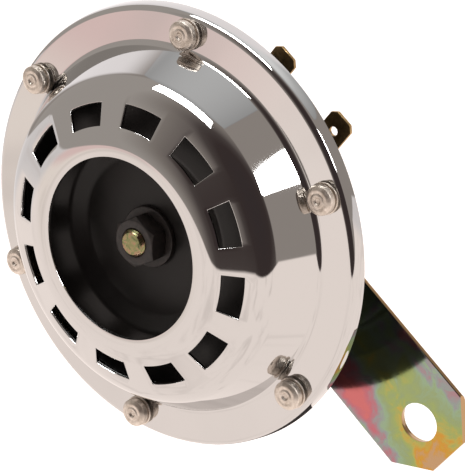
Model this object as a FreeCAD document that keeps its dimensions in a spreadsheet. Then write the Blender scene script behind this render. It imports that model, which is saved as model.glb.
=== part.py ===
import FreeCAD, Part
import math
import os
import re
import Sketcher
from FreeCAD import Placement, Rotation, Vector

# Electric disc horn with a pressed, chromed front cover, a tone disc, a coil-driven
# diaphragm, a contact breaker and a flat strap bracket. Millimetres, +Z up.
#
# Frame of the part: the origin is the centre of the bracket's mounting hole, on the
# rear face of the strap. -Y is the way the sound leaves, and the horn hangs at -Z.
#
# Frame of each horn piece: +Z is the way the sound leaves, +Y points along the strap
# towards the mounting hole, and zero is on the axis at the front face of the cover's
# flat flange. "Levels" below are heights along that axis.

doc = FreeCAD.newDocument("disc_horn")

SIZES = [
    ("rim_radius", 49.5, "front cover: outer radius of the turned-back rim"),
    ("rim_depth", 3.3, "front cover: from the flange face back to the rim's edge"),
    ("rim_flare", 0.8, "front cover: how far the rim opens outwards towards its edge"),
    ("rim_bend", 2.0, "front cover: bend between flange and rim"),
    ("cover_gauge", 0.8, "front cover: sheet thickness"),
    ("flange_width", 8.2, "front cover: from the flank's foot to the rim's edge"),
    ("flank_run", 6.1, "front cover: width of the flank, seen from the front"),
    ("band_width", 10.0, "front cover: width of the slotted band"),
    ("land_width", 5.35, "front cover: width of the land round the centre hole"),
    ("mouth_height", 14.95, "front cover: height of the centre hole's edge"),
    ("land_height", 14.35, "front cover: height where the land meets the band"),
    ("land_bend", 18.0, "front cover: easy bend between land and band"),
    ("shoulder_height", 10.2, "front cover: height where band and flank meet"),
    ("shoulder_bend", 7.0, "front cover: bend between band and flank"),
    ("foot_bend", 2.5, "front cover: bend between flank and flange"),
    ("slot_count", 12, "sound slots in the band"),
    ("slot_inset", 0.95, "sound slot: from the land to its inner edge"),
    ("slot_length", 4.65, "sound slot: from its inner to its outer edge"),
    ("slot_half_angle", 8.9, "sound slot: half its angle, in degrees"),
    ("clamp_inset", 2.4, "clamped sheets: from the cover's rim in to their edge"),
    ("gasket_gauge", 0.5, "gaskets: thickness"),
    ("gasket_width", 8.5, "gaskets: width of the ring"),
    ("diaphragm_gauge", 0.4, "diaphragm: thickness"),
    ("wave_inset", 5.6, "diaphragm: from the gaskets in to its one pressed wave"),
    ("wave_height", 0.9, "diaphragm: height of the wave"),
    ("wave_width", 4.4, "diaphragm: width of the wave"),
    ("wave_bend", 1.4, "diaphragm: bends of the wave"),
    ("rivet_count", 6, "rim rivets"),
    ("rivet_inset", 4.7, "rim rivets: from the rim in to their circle"),
    ("rivet_shank", 1.6, "rim rivets: shank radius"),
    ("rivet_play", 0.1, "rim rivets: radial play in the flange holes"),
    ("rivet_head", 3.15, "rim rivets: radius of the front head"),
    ("rivet_head_top", 3.1, "rim rivets: height of the front head's face"),
    ("rivet_head_round", 0.75, "rim rivets: rounding of the front head"),
    ("rivet_neck", 2.65, "rim rivets: radius of the groove under the head"),
    ("rivet_neck_length", 0.35, "rim rivets: length of that groove"),
    ("rivet_ring", 1.25, "rim rivets: radius of the raised ring on the face"),
    ("rivet_ring_edge", 0.4, "rim rivets: width of the ring's slopes"),
    ("rivet_ring_rise", 0.1, "rim rivets: rise of the ring over the head's edge"),
    ("rivet_dimple", 0.25, "rim rivets: depth of the dimple inside the ring"),
    ("rivet_washer", 3.4, "rim rivet washers: outer radius"),
    ("rivet_washer_seat", 2.0, "rim rivet washers: radius of the face on the flange"),
    ("rivet_washer_lift", 0.5, "rim rivet washers: rise from that face to the edge"),
    ("rivet_washer_edge", 0.25, "rim rivet washers: chamfer at the top"),
    ("rivet_washer_gauge", 0.9, "rim rivet washers: thickness"),
    ("rivet_tail", 2.2, "rim rivets: radius of the rear head"),
    ("rivet_tail_length", 1.8, "rim rivets: length of the rear head"),
    ("housing_gauge", 1.2, "housing: sheet thickness"),
    ("housing_depth", 25.9, "housing: from the cover's flange face to the rear face"),
    ("ledge_width", 10.2, "housing: width of the ledge round the deep cup"),
    ("cup_corner", 3.0, "housing: bend at the cup's rear edge"),
    ("ledge_level", 9.2, "housing: depth of the ledge's rear face"),
    ("ledge_bend", 1.2, "housing: bend between cup and ledge"),
    ("clamp_width", 8.9, "housing: width of the flange round the shallow chamber"),
    ("chamber_bend", 2.0, "housing: bends of the shallow chamber"),
    ("stud_radius", 3.0, "armature stud: radius of the thread"),
    ("stud_play", 0.12, "armature stud: radial play in the pieces on it"),
    ("stud_tip", 10.8, "armature stud: level of its end"),
    ("stud_chamfer", 0.6, "armature stud: chamfer of its end"),
    ("spacer_radius", 6.0, "spacer under the tone disc: outer radius"),
    ("disc_seat", 2.7, "tone disc: level of its rear face at the centre"),
    ("disc_gauge", 1.5, "tone disc: thickness"),
    ("disc_dish_inset", 1.85, "tone disc: from the cover's hole in to the dished centre"),
    ("disc_dish_run", 3.2, "tone disc: width of the slope round the dish"),
    ("disc_dish_rise", 2.2, "tone disc: depth of the dish"),
    ("disc_bend", 2.6, "tone disc: bends of the dish"),
    ("disc_clearance", 0.7, "tone disc: from the cover's shoulder in to its edge"),
    ("washer_radius", 6.75, "washer on the tone disc: outer radius"),
    ("washer_gauge", 1.2, "washer on the tone disc: thickness"),
    ("nut_face", 0.48, "all nuts: radius of their turned face as a share of the flats' width"),
    ("disc_nut_across", 10.0, "tone disc nut: width across flats"),
    ("disc_nut_height", 4.5, "tone disc nut: height"),
    ("disc_nut_turn", 6.5, "tone disc nut: how far it stands turned, in degrees"),
    ("backing_radius", 9.0, "washer behind the diaphragm: outer radius"),
    ("backing_gauge", 1.0, "washer behind the diaphragm: thickness"),
    ("collar_radius", 10.5, "armature: radius of its collar"),
    ("collar_height", 2.4, "armature: height of its collar"),
    ("plunger_radius", 7.0, "armature: radius of the plunger"),
    ("plunger_length", 7.9, "armature: length of the plunger below the collar"),
    ("plunger_chamfer", 0.4, "plunger and pole core: chamfer of the faces that meet"),
    ("air_gap", 0.9, "gap between plunger and pole core at rest"),
    ("core_radius", 7.0, "pole core: radius"),
    ("mount_stud_radius", 4.0, "pole core: radius of the rear mounting stud"),
    ("mount_stud_play", 0.2, "pole core: radial play of the stud in housing and strap"),
    ("mount_stud_past", 1.7, "pole core: length of stud past the bracket nut"),
    ("mount_stud_chamfer", 0.8, "pole core: chamfer of that stud's end"),
    ("bobbin_play", 0.35, "coil bobbin: radial play round core and plunger"),
    ("bobbin_wall", 0.9, "coil bobbin: wall of its tube"),
    ("bobbin_share", 0.55, "coil bobbin: radius of its flanges as a share of the cup's"),
    ("bobbin_flange", 1.0, "coil bobbin: thickness of a flange"),
    ("bobbin_drop", 4.3, "coil bobbin: from the armature's collar down to it"),
    ("winding_inset", 1.1, "coil winding: from the bobbin's flanges in to the wire"),
    ("breaker_set_out", 4.6, "breaker stack: from the cup out to its middle"),
    ("breaker_depth", 5.8, "breaker stack: size along the reach"),
    ("breaker_width", 12.0, "breaker stack: size across the reach"),
    ("breaker_pitch", 7.2, "breaker stack: distance between its two rivets"),
    ("breaker_rivet", 1.0, "breaker stack: radius of its rivets"),
    ("breaker_rivet_play", 0.1, "breaker stack: radial play of its rivets"),
    ("breaker_rivet_head", 1.7, "breaker stack: radius of the rivet heads"),
    ("breaker_rivet_head_height", 0.8, "breaker stack: height of the rivet heads"),
    ("insulator_gauge", 0.8, "breaker stack: thickness of each insulator"),
    ("spring_gauge", 0.4, "breaker spring: thickness"),
    ("spring_width", 9.0, "breaker spring: width beyond the stack"),
    ("spring_end", 8.0, "breaker spring: distance of its free end from the axis"),
    ("arm_taper", 2.0, "breaker spring and contact arm: length over which they narrow"),
    ("arm_gauge", 0.6, "fixed contact arm: thickness"),
    ("arm_width", 7.0, "fixed contact arm: width beyond the stack"),
    ("arm_end", 13.5, "fixed contact arm: distance of its free end from the axis"),
    ("contact_radius", 1.5, "contact points: radius"),
    ("pad_reach", 9.3, "push pad: distance from the axis"),
    ("pad_radius", 1.0, "push pad: radius"),
    ("pad_gap", 0.05, "push pad: gap to the armature's collar at rest"),
    ("screw_inset", 6.5, "adjusting screw: from the cup in to its middle"),
    ("screw_radius", 2.0, "adjusting screw: radius of the thread"),
    ("screw_play", 0.05, "adjusting screw: radial play in bush and nut"),
    ("screw_past", 3.2, "adjusting screw: length past its lock nut"),
    ("screw_chamfer", 0.4, "adjusting screw: chamfer of its outer end"),
    ("screw_slot", 0.8, "adjusting screw: width of the driver slot"),
    ("screw_slot_depth", 1.1, "adjusting screw: depth of the driver slot"),
    ("screw_window", 2.7, "breaker spring: radius of the hole round the screw"),
    ("tip_radius", 1.6, "adjusting screw tip: radius"),
    ("tip_length", 1.4, "adjusting screw tip: length"),
    ("bush_radius", 3.4, "adjuster bush: outer radius"),
    ("bush_neck", 2.8, "adjuster bush: radius where it passes the housing"),
    ("bush_length", 3.0, "adjuster bush: length inside the housing"),
    ("lock_nut_across", 7.0, "adjuster lock nut: width across flats"),
    ("lock_nut_height", 2.4, "adjuster lock nut: height"),
    ("blade_level", 18.5, "terminals: depth of the blades' middle plane"),
    ("blade_set_in", 5.7, "terminals: from the block's side in to a blade's middle"),
    ("blade_width", 6.3, "terminals: width of a blade"),
    ("blade_gauge", 0.8, "terminals: thickness of a blade"),
    ("blade_length", 22.7, "terminals: length of a blade"),
    ("blade_show", 9.5, "terminals: length of blade outside the terminal block"),
    ("blade_clip", 1.3, "terminals: clipped corners of the tips"),
    ("blade_hole", 1.0, "terminals: radius of the locking hole"),
    ("blade_hole_inset", 4.1, "terminals: distance of that hole from the tip"),
    ("blade_play", 0.05, "terminals: play in the terminal block"),
    ("block_set_out", 4.6, "terminal block: from the cup out to its outer face"),
    ("block_width", 30.0, "terminal block: width"),
    ("block_height", 7.0, "terminal block: size along the horn's axis"),
    ("block_round", 1.0, "terminal block: rounding of its outer edges"),
    ("tongue_inset", 2.0, "terminal block: from its side in to the tongue's side"),
    ("tongue_height", 5.2, "terminal block: height of that tongue"),
    ("tongue_reach", 3.2, "terminal block: from the cup in to the tongue's end"),
    ("tongue_play", 0.1, "terminal block: play of the tongue in the housing window"),
    ("block_rivet_pitch", 7.4, "terminal block: distance between its two rivets"),
    ("block_rivet", 1.1, "terminal block: radius of its rivets"),
    ("block_rivet_head", 1.9, "terminal block: radius of the rivet heads"),
    ("block_rivet_head_height", 0.8, "terminal block: height of the rivet heads"),
    ("hole_reach", 64.4, "bracket: distance from horn axis to mounting hole"),
    ("mount_hole", 4.5, "bracket: radius of the mounting hole"),
    ("strap_gauge", 2.0, "bracket: thickness"),
    ("strap_width", 25.5, "bracket: width"),
    ("strap_end", 10.5, "bracket: length past the mounting hole"),
    ("strap_clip", 7.6, "bracket: clipped corners of that end"),
    ("lock_washer_radius", 6.9, "bracket lock washer: outer radius"),
    ("lock_washer_gauge", 1.8, "bracket lock washer: thickness"),
    ("lock_washer_split", 1.2, "bracket lock washer: width of its split"),
    ("bracket_nut_across", 13.0, "bracket nut: width across flats"),
    ("bracket_nut_height", 6.5, "bracket nut: height"),
    ("bracket_nut_turn", 11.0, "bracket nut: how far it stands turned, in degrees"),
]
NAMES = {name for name, number, note in SIZES}

sizes = doc.addObject("Spreadsheet::Sheet", "Sizes")
for row, (name, number, note) in enumerate(SIZES, start=1):
    sizes.set(f"A{row}", note)
    sizes.set(f"B{row}", str(number))
    sizes.setAlias(f"B{row}", name)
doc.recompute()

# Radii of the front cover, from its rim inwards.
RIM_CORNER = "(rim_radius - rim_flare)"
FOOT_RADIUS = "(rim_radius - flange_width)"
SHOULDER_RADIUS = f"({FOOT_RADIUS} - flank_run)"
LAND_RADIUS = f"({SHOULDER_RADIUS} - band_width)"
MOUTH_RADIUS = f"({LAND_RADIUS} - land_width)"
SLOT_INNER = f"({LAND_RADIUS} + slot_inset)"
SLOT_OUTER = f"({SLOT_INNER} + slot_length)"

# Radii of what the cover's rim clamps and holds.
CLAMP_RADIUS = "(rim_radius - clamp_inset)"
RIVET_CIRCLE = "(rim_radius - rivet_inset)"
GASKET_INNER = f"({CLAMP_RADIUS} - gasket_width)"
WAVE_RADIUS = f"({GASKET_INNER} - wave_inset)"
DISC_RADIUS = f"({SHOULDER_RADIUS} - disc_clearance)"
DISH_RADIUS = f"({MOUTH_RADIUS} - disc_dish_inset)"
CHAMBER_RADIUS = f"({CLAMP_RADIUS} - clamp_width)"
CUP_RADIUS = f"({CHAMBER_RADIUS} - ledge_width)"
BOBBIN_RADIUS = f"({CUP_RADIUS} * bobbin_share)"
WINDING_RADIUS = f"({BOBBIN_RADIUS} - winding_inset)"

# Distances from the axis, on the side of the breaker and the terminals.
BREAKER_REACH = f"({CUP_RADIUS} + breaker_set_out)"
SCREW_REACH = f"({CUP_RADIUS} - screw_inset)"
CONTACT_REACH = f"(({SCREW_REACH} - tip_radius + pad_reach + pad_radius) / 2)"
BLOCK_FACE = f"({CUP_RADIUS} + block_set_out)"
TONGUE_END = f"({CUP_RADIUS} - tongue_reach)"
BLADE_TIP = f"({BLOCK_FACE} + blade_show)"
BLADE_TAIL = f"({BLADE_TIP} - blade_length)"

# Distances to each side of the terminals' middle.
BLADE_SIDE = "(block_width / 2 - blade_set_in)"
TONGUE_SIDE = "(block_width / 2 - tongue_inset)"

# Levels of the clamped rim, from the cover back to the housing's flange.
GASKET_FRONT = "(0 - cover_gauge)"
DIAPHRAGM_FRONT = f"({GASKET_FRONT} - gasket_gauge)"
DIAPHRAGM_BACK = f"({DIAPHRAGM_FRONT} - diaphragm_gauge)"
FLANGE_FRONT = f"({DIAPHRAGM_BACK} - gasket_gauge)"
FLANGE_BACK = f"({FLANGE_FRONT} - housing_gauge)"

# Levels of the housing's floor and ledge.
HOUSING_BACK = "(0 - housing_depth)"
FLOOR = f"({HOUSING_BACK} + housing_gauge)"
LEDGE_BACK = "(0 - ledge_level)"
LEDGE_FRONT = f"({LEDGE_BACK} + housing_gauge)"

# Levels of the moving group, from the tone disc back to the plunger's face.
DISC_FRONT = "(disc_seat + disc_gauge)"
NUT_SEAT = f"({DISC_FRONT} + washer_gauge)"
COLLAR_FRONT = f"({DIAPHRAGM_BACK} - backing_gauge)"
COLLAR_BACK = f"({COLLAR_FRONT} - collar_height)"
PLUNGER_FACE = f"({COLLAR_BACK} - plunger_length)"
CORE_FACE = f"({PLUNGER_FACE} - air_gap)"
BOBBIN_FRONT = f"({COLLAR_BACK} - bobbin_drop)"

# Levels of the breaker stack, from the ledge forwards.
SPRING_BACK = f"({LEDGE_FRONT} + insulator_gauge)"
SPRING_FRONT = f"({SPRING_BACK} + spring_gauge)"
ARM_BACK = f"({SPRING_FRONT} + insulator_gauge)"
ARM_FRONT = f"({ARM_BACK} + arm_gauge)"
STACK_FRONT = f"({ARM_FRONT} + insulator_gauge)"
CONTACT_LEVEL = f"({SPRING_FRONT} + insulator_gauge / 2)"

# Levels behind the housing.
STRAP_BACK = f"({HOUSING_BACK} - strap_gauge)"
BRACKET_NUT_FRONT = f"({STRAP_BACK} - lock_washer_gauge)"
BRACKET_NUT_BACK = f"({BRACKET_NUT_FRONT} - bracket_nut_height)"
LOCK_NUT_BACK = f"({HOUSING_BACK} - lock_nut_height)"

BLADE_LEVEL = "(0 - blade_level)"

nodes = []


# Small helpers: expressions on the sheet, sketches and their constraints.

def cell(expression):
    """The expression with each size's name pointing at its cell of the sheet."""
    return re.sub(r"[a-z_]+", lambda word: "Sizes." + word.group()
                  if word.group() in NAMES else word.group(), expression)


def value(expression):
    return float(sizes.evalExpression(cell(expression)))


def bind(item, setting, expression):
    item.setExpression(setting, cell(expression))


def new_body(name):
    return doc.addObject("PartDesign::Body", name)


def origin_feature(body, role):
    return next(part for part in body.Origin.OriginFeatures if part.Role == role)


def new_sketch(body, name, role, lift=None):
    """A sketch on one of the body's own planes, lifted off it along its normal."""
    sketch = body.newObject("Sketcher::SketchObject", name)
    sketch.AttachmentSupport = [(origin_feature(body, role), "")]
    sketch.MapMode = "FlatFace"
    if lift is not None:
        bind(sketch, "AttachmentOffset.Base.z", lift)
    return sketch


def limit(sketch, kind, *places, to=None):
    """Adds a constraint, and ties its size to the sheet where it has one."""
    if to is None:
        return sketch.addConstraint(Sketcher.Constraint(kind, *places))
    index = sketch.addConstraint(Sketcher.Constraint(kind, *places, value(to)))
    bind(sketch, f"Constraints[{index}]", to)
    return index


def pin(sketch, shape, end, across, along):
    """Holds a point of the sketch at its two distances from the origin."""
    for kind, axis, place in (("DistanceX", -2, across), ("DistanceY", -1, along)):
        if place == "0":
            limit(sketch, "PointOnObject", shape, end, axis)
        else:
            limit(sketch, kind, -1, 1, shape, end, to=place)


def draw_outline(sketch, corners):
    """A closed outline of straight lines through the corners."""
    points = [Vector(value(across), value(along), 0) for across, along in corners]
    lines = [sketch.addGeometry(Part.LineSegment(point, points[(spot + 1) % len(points)]))
             for spot, point in enumerate(points)]
    for spot, line in enumerate(lines):
        limit(sketch, "Coincident", line, 2, lines[(spot + 1) % len(lines)], 1)
        pin(sketch, line, 1, *corners[spot])


def draw_circle(sketch, across, along, radius):
    centre = Vector(value(across), value(along), 0)
    circle = sketch.addGeometry(Part.Circle(centre, Vector(0, 0, 1), value(radius)))
    if (across, along) == ("0", "0"):
        limit(sketch, "Coincident", circle, 3, -1, 1)
    else:
        pin(sketch, circle, 3, across, along)
    limit(sketch, "Radius", circle, to=radius)


def draw_bent_line(sketch, corners):
    """An open line through (across, along, bend radius), its inner corners rounded."""
    points = [Vector(value(across), value(along), 0) for across, along, bend in corners]
    marks = []
    for point, (across, along, bend) in zip(points, corners):
        mark = sketch.addGeometry(Part.Point(point), True)
        pin(sketch, mark, 1, across, along)
        marks.append(mark)
    starts, ends, bends = [points[0]], [], []
    for spot in range(1, len(points) - 1):
        before = (points[spot] - points[spot - 1]).normalize()
        after = (points[spot + 1] - points[spot]).normalize()
        turn = before.cross(after).z
        radius = value(corners[spot][2])
        run = radius * math.tan(before.getAngle(after) / 2)
        side = Vector(-before.y, before.x, 0) * math.copysign(radius, turn)
        ends.append(points[spot] - before * run)
        starts.append(points[spot] + after * run)
        bends.append((ends[-1] + side, radius, turn > 0))
    ends.append(points[-1])
    lines = [sketch.addGeometry(Part.LineSegment(first, last))
             for first, last in zip(starts, ends)]
    for spot, line in enumerate(lines):
        kind = "Coincident" if spot == 0 else "PointOnObject"
        places = (line, 1, marks[spot], 1) if spot == 0 else (marks[spot], 1, line)
        limit(sketch, kind, *places)
        last = spot == len(lines) - 1
        kind = "Coincident" if last else "PointOnObject"
        places = (line, 2, marks[-1], 1) if last else (marks[spot + 1], 1, line)
        limit(sketch, kind, *places)
    for spot, (centre, radius, leftwards) in enumerate(bends):
        first, last = (ends[spot], starts[spot + 1]) if leftwards else (starts[spot + 1], ends[spot])
        from_angle = math.atan2(first.y - centre.y, first.x - centre.x)
        to_angle = math.atan2(last.y - centre.y, last.x - centre.x)
        circle = Part.Circle(centre, Vector(0, 0, 1), radius)
        arc = sketch.addGeometry(Part.ArcOfCircle(circle, from_angle, to_angle))
        limit(sketch, "Tangent", lines[spot], 2, arc, 1 if leftwards else 2)
        limit(sketch, "Tangent", arc, 2 if leftwards else 1, lines[spot + 1], 1)
        limit(sketch, "Radius", arc, to=corners[spot + 1][2])


# Helpers that make or change a solid.

def hang(item, label):
    """Names a finished piece and puts it at the horn's place below the mounting hole."""
    item.Label = label
    item.Placement = Placement(Vector(), Rotation(Vector(1, 0, 0), 90))
    bind(item, ".Placement.Base.y", f"{HOUSING_BACK} - strap_gauge")
    bind(item, ".Placement.Base.z", "0 - hole_reach")
    nodes.append(item)
    return item


def turn(body, name, corners):
    """Turns a closed outline of (radius, level) round the body's axis."""
    sketch = new_sketch(body, name + "_outline", "XZ_Plane")
    draw_outline(sketch, corners)
    turned = body.newObject("PartDesign::Revolution", name)
    turned.Profile = sketch
    turned.ReferenceAxis = (sketch, ["V_Axis"])
    turned.Angle = 360
    doc.recompute()
    return turned


def ring(label, inner, outer, low, high):
    """A plain washer, tube or gasket on the horn's axis."""
    body = new_body(label)
    turn(body, label + "_turned", [(inner, low), (outer, low), (outer, high), (inner, high)])
    return body


def press(name, corners, gauge):
    """A round piece pressed from sheet; its line is the face that the gauge lies behind."""
    line = doc.addObject("Sketcher::SketchObject", name + "_line")
    line.Placement = Placement(Vector(), Rotation(Vector(1, 0, 0), 90))
    draw_bent_line(line, corners)
    section = doc.addObject("Part::Offset2D", name + "_section")
    section.Source = line
    section.Mode = "Skin"
    section.Join = "Arc"
    section.Fill = True
    bind(section, "Value", gauge)
    turned = doc.addObject("Part::Revolution", name + "_turned")
    turned.Source = section
    turned.Axis = Vector(0, 0, 1)
    turned.Angle = 360
    doc.recompute()
    body = new_body(name)
    body.BaseFeature = turned
    doc.recompute()
    return body


def cut(body, sketch, name, depth=None):
    """Cuts the sketch downwards through the body, or to a depth, and checks that it did."""
    before = body.Shape.Volume
    pocket = body.newObject("PartDesign::Pocket", name)
    pocket.Profile = sketch
    if depth is None:
        pocket.Type = "ThroughAll"
    else:
        bind(pocket, "Length", depth)
    doc.recompute()
    if body.Shape.Volume >= before:
        raise RuntimeError(f"{name} in {body.Name} cuts nothing")
    return pocket


def bore(body, name, holes, top, depth=None):
    """Round holes (across, along, radius), cut from a level downwards."""
    sketch = new_sketch(body, name + "_circles", "XY_Plane", top)
    for across, along, radius in holes:
        draw_circle(sketch, across, along, radius)
    return cut(body, sketch, name, depth)


def repeat_round(body, name, feature, count):
    """Repeats a feature evenly round the horn's axis."""
    pattern = body.newObject("PartDesign::PolarPattern", name)
    pattern.Originals = [feature]
    pattern.Axis = (origin_feature(body, "Z_Axis"), [""])
    pattern.Angle = 360
    bind(pattern, "Occurrences", count)
    body.Tip = pattern
    doc.recompute()
    return pattern


def plate(label, corners, holes, low, gauge, role="XY_Plane"):
    """A flat plate with straight edges and round holes, padded forwards from a level."""
    body = new_body(label)
    sketch = new_sketch(body, label + "_outline", role, low)
    draw_outline(sketch, corners)
    for across, along, radius in holes:
        draw_circle(sketch, across, along, radius)
    pad = body.newObject("PartDesign::Pad", label + "_pad")
    pad.Profile = sketch
    bind(pad, "Length", gauge)
    doc.recompute()
    return body


def rim_rivet_holes(body, radius="rivet_shank + rivet_play"):
    """The holes for the rim rivets; the first one lies in line with the strap."""
    hole = bore(body, "rivet_hole", [("0", RIVET_CIRCLE, radius)], "rivet_head_top")
    repeat_round(body, "rivet_holes", hole, "rivet_count")


def hexagon_nut(label, across, height, thread, low, turned):
    """A hexagon nut whose corners are turned off at both faces."""
    corner = f"({across} / 2 / cos(30))"
    face = f"({across} * nut_face)"
    slope = f"(({corner} - {face}) * tan(30))"
    blank = doc.addObject("Part::Prism", label + "_hexagon")
    blank.Polygon = 6
    bind(blank, "Circumradius", corner)
    bind(blank, "Height", height)
    bind(blank, ".Placement.Base.z", low)
    bind(blank, ".Placement.Rotation.Angle", turned)
    barrel = new_body(label + "_barrel")
    turn(barrel, label + "_barrel_turned", [
        (thread, low),
        (face, low),
        (corner, f"{low} + {slope}"),
        (corner, f"{low} + {height} - {slope}"),
        (face, f"{low} + {height}"),
        (thread, f"{low} + {height}"),
    ])
    nut = doc.addObject("Part::Common", label)
    nut.Base = blank
    nut.Tool = barrel
    doc.recompute()
    return nut


# The pieces of the horn, from the front to the back.

def make_front_cover():
    """Pressed chromed cover: slotted dome, flat flange and turned-back rim."""
    body = press("front_cover", [
        (MOUTH_RADIUS, "mouth_height", None),
        (LAND_RADIUS, "land_height", "land_bend"),
        (SHOULDER_RADIUS, "shoulder_height", "shoulder_bend"),
        (FOOT_RADIUS, "0", "foot_bend"),
        (RIM_CORNER, "0", "rim_bend"),
        ("rim_radius", "0 - rim_depth", None),
    ], "0 - cover_gauge")
    slot = new_sketch(body, "slot_outline", "XY_Plane", "mouth_height")
    draw_sector(slot, SLOT_INNER, SLOT_OUTER, "slot_half_angle")
    slot = cut(body, slot, "slot")
    repeat_round(body, "slots", slot, "slot_count")
    rim_rivet_holes(body)
    return hang(body, "front_cover")


def draw_sector(sketch, inner, outer, half_angle):
    """A piece of a ring, the same on both sides of the sketch's first axis."""
    corners = [(f"{radius} * cos({half_angle})", f"{side} * {radius} * sin({half_angle})")
               for radius, side in ((inner, "-1"), (outer, "-1"), (outer, "1"), (inner, "1"))]
    points = [Vector(value(across), value(along), 0) for across, along in corners]
    lower = sketch.addGeometry(Part.LineSegment(points[0], points[1]))
    upper = sketch.addGeometry(Part.LineSegment(points[2], points[3]))
    angle = math.radians(value(half_angle))
    arcs = [sketch.addGeometry(Part.ArcOfCircle(
        Part.Circle(Vector(), Vector(0, 0, 1), value(radius)), -angle, angle))
        for radius in (inner, outer)]
    for line, end, corner in ((lower, 1, 0), (lower, 2, 1), (upper, 1, 2), (upper, 2, 3)):
        pin(sketch, line, end, *corners[corner])
    for arc, lower_end, upper_end, radius in ((arcs[0], 1, 2, inner), (arcs[1], 2, 1, outer)):
        limit(sketch, "Coincident", arc, 1, lower, lower_end)
        limit(sketch, "Coincident", arc, 2, upper, upper_end)
        limit(sketch, "Radius", arc, to=radius)


def make_gasket(label, front):
    body = ring(label, GASKET_INNER, CLAMP_RADIUS, f"{front} - gasket_gauge", front)
    rim_rivet_holes(body)
    return hang(body, label)


def make_diaphragm():
    """Thin spring-steel sheet with one pressed wave near its clamped edge."""
    crest = f"({DIAPHRAGM_FRONT} + wave_height)"
    body = press("diaphragm", [
        ("stud_radius + stud_play", DIAPHRAGM_FRONT, None),
        (f"{WAVE_RADIUS} - wave_width / 2", DIAPHRAGM_FRONT, "wave_bend"),
        (WAVE_RADIUS, crest, "wave_bend"),
        (f"{WAVE_RADIUS} + wave_width / 2", DIAPHRAGM_FRONT, "wave_bend"),
        (CLAMP_RADIUS, DIAPHRAGM_FRONT, None),
    ], "0 - diaphragm_gauge")
    rim_rivet_holes(body)
    return hang(body, "diaphragm")


def make_housing():
    """Pressed steel housing: deep cup for the coil, ledge for the breaker, and flange."""
    body = press("housing", [
        ("mount_stud_radius + mount_stud_play", HOUSING_BACK, None),
        (CUP_RADIUS, HOUSING_BACK, "cup_corner"),
        (CUP_RADIUS, LEDGE_BACK, "ledge_bend"),
        (CHAMBER_RADIUS, LEDGE_BACK, "chamber_bend"),
        (CHAMBER_RADIUS, FLANGE_BACK, "chamber_bend"),
        (CLAMP_RADIUS, FLANGE_BACK, None),
    ], "housing_gauge")
    rim_rivet_holes(body)
    bore(body, "adjuster_hole", [(f"0 - {SCREW_REACH}", "0", "bush_neck")], FLOOR)
    bore(body, "breaker_rivet_holes", breaker_holes("breaker_rivet + breaker_rivet_play"),
         LEDGE_FRONT, "housing_gauge")
    window = new_sketch(body, "terminal_window_outline", "XY_Plane",
                        f"{BLADE_LEVEL} + tongue_height / 2 + tongue_play")
    side = f"({TONGUE_SIDE} + tongue_play)"
    draw_outline(window, [
        (f"0 - {BLOCK_FACE}", f"0 - {side}"),
        (f"0 - {BOBBIN_RADIUS}", f"0 - {side}"),
        (f"0 - {BOBBIN_RADIUS}", side),
        (f"0 - {BLOCK_FACE}", side),
    ])
    cut(body, window, "terminal_window", "tongue_height + 2 * tongue_play")
    return hang(body, "housing")


def draw_rivet_section(sketch, corners, reach):
    """Half a rivet's section at its place on the circle, and the axis to turn it on."""
    draw_outline(sketch, [(f"{reach} + {across}", along) for across, along in corners])
    axis = sketch.addGeometry(Part.LineSegment(Vector(value(reach), -1, 0),
                                               Vector(value(reach), 1, 0)), True)
    limit(sketch, "Vertical", axis)
    pin(sketch, axis, 1, reach, "-1")
    limit(sketch, "DistanceY", -1, 1, axis, 2, to="1")


def off_axis_group(label, corners, reach, count):
    """Like turned solids, evenly spread round the horn's axis, the first one by the strap."""
    body = new_body(label)
    sketch = new_sketch(body, label + "_section", "YZ_Plane")
    draw_rivet_section(sketch, corners, reach)
    single = body.newObject("PartDesign::Revolution", label + "_single")
    single.Profile = sketch
    single.ReferenceAxis = (sketch, ["Axis0"])
    single.Angle = 360
    doc.recompute()
    repeat_round(body, label + "_all", single, count)
    return body


def make_rim_rivets():
    """Rivets with a rounded front head on a grooved neck, and a flat rear head."""
    top = "rivet_head_top"
    neck = "(rivet_washer_gauge + rivet_neck_length)"
    facet = "(rivet_head_round * (1 - cos(45)))"
    body = off_axis_group("rim_rivets", [
        ("0", f"{FLANGE_BACK} - rivet_tail_length"),
        ("rivet_tail - rivet_head_round", f"{FLANGE_BACK} - rivet_tail_length"),
        ("rivet_tail", f"{FLANGE_BACK} - rivet_tail_length + rivet_head_round"),
        ("rivet_tail", FLANGE_BACK),
        ("rivet_shank", FLANGE_BACK),
        ("rivet_shank", "rivet_washer_gauge"),
        ("rivet_neck", "rivet_washer_gauge"),
        ("rivet_neck", neck),
        ("rivet_head", neck),
        ("rivet_head", f"{top} - rivet_head_round"),
        (f"rivet_head - {facet}", f"{top} - {facet}"),
        ("rivet_head - rivet_head_round", top),
        ("rivet_ring + rivet_ring_edge", f"{top} - rivet_ring_rise"),
        ("rivet_ring", f"{top} + rivet_ring_rise"),
        ("rivet_ring - rivet_ring_edge", f"{top} - rivet_dimple"),
        ("0", f"{top} - rivet_dimple"),
    ], RIVET_CIRCLE, "rivet_count")
    return hang(body, "rim_rivets")


def make_rim_rivet_washers():
    """Washers that rise off the flange at their edge, clear of the bend at the flank."""
    inner = "(rivet_shank + rivet_play)"
    body = off_axis_group("rim_rivet_washers", [
        (inner, "0"),
        ("rivet_washer_seat", "0"),
        ("rivet_washer", "rivet_washer_lift"),
        ("rivet_washer", "rivet_washer_gauge - rivet_washer_edge"),
        ("rivet_washer - rivet_washer_edge", "rivet_washer_gauge"),
        (inner, "rivet_washer_gauge"),
    ], RIVET_CIRCLE, "rivet_count")
    return hang(body, "rim_rivet_washers")


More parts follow.
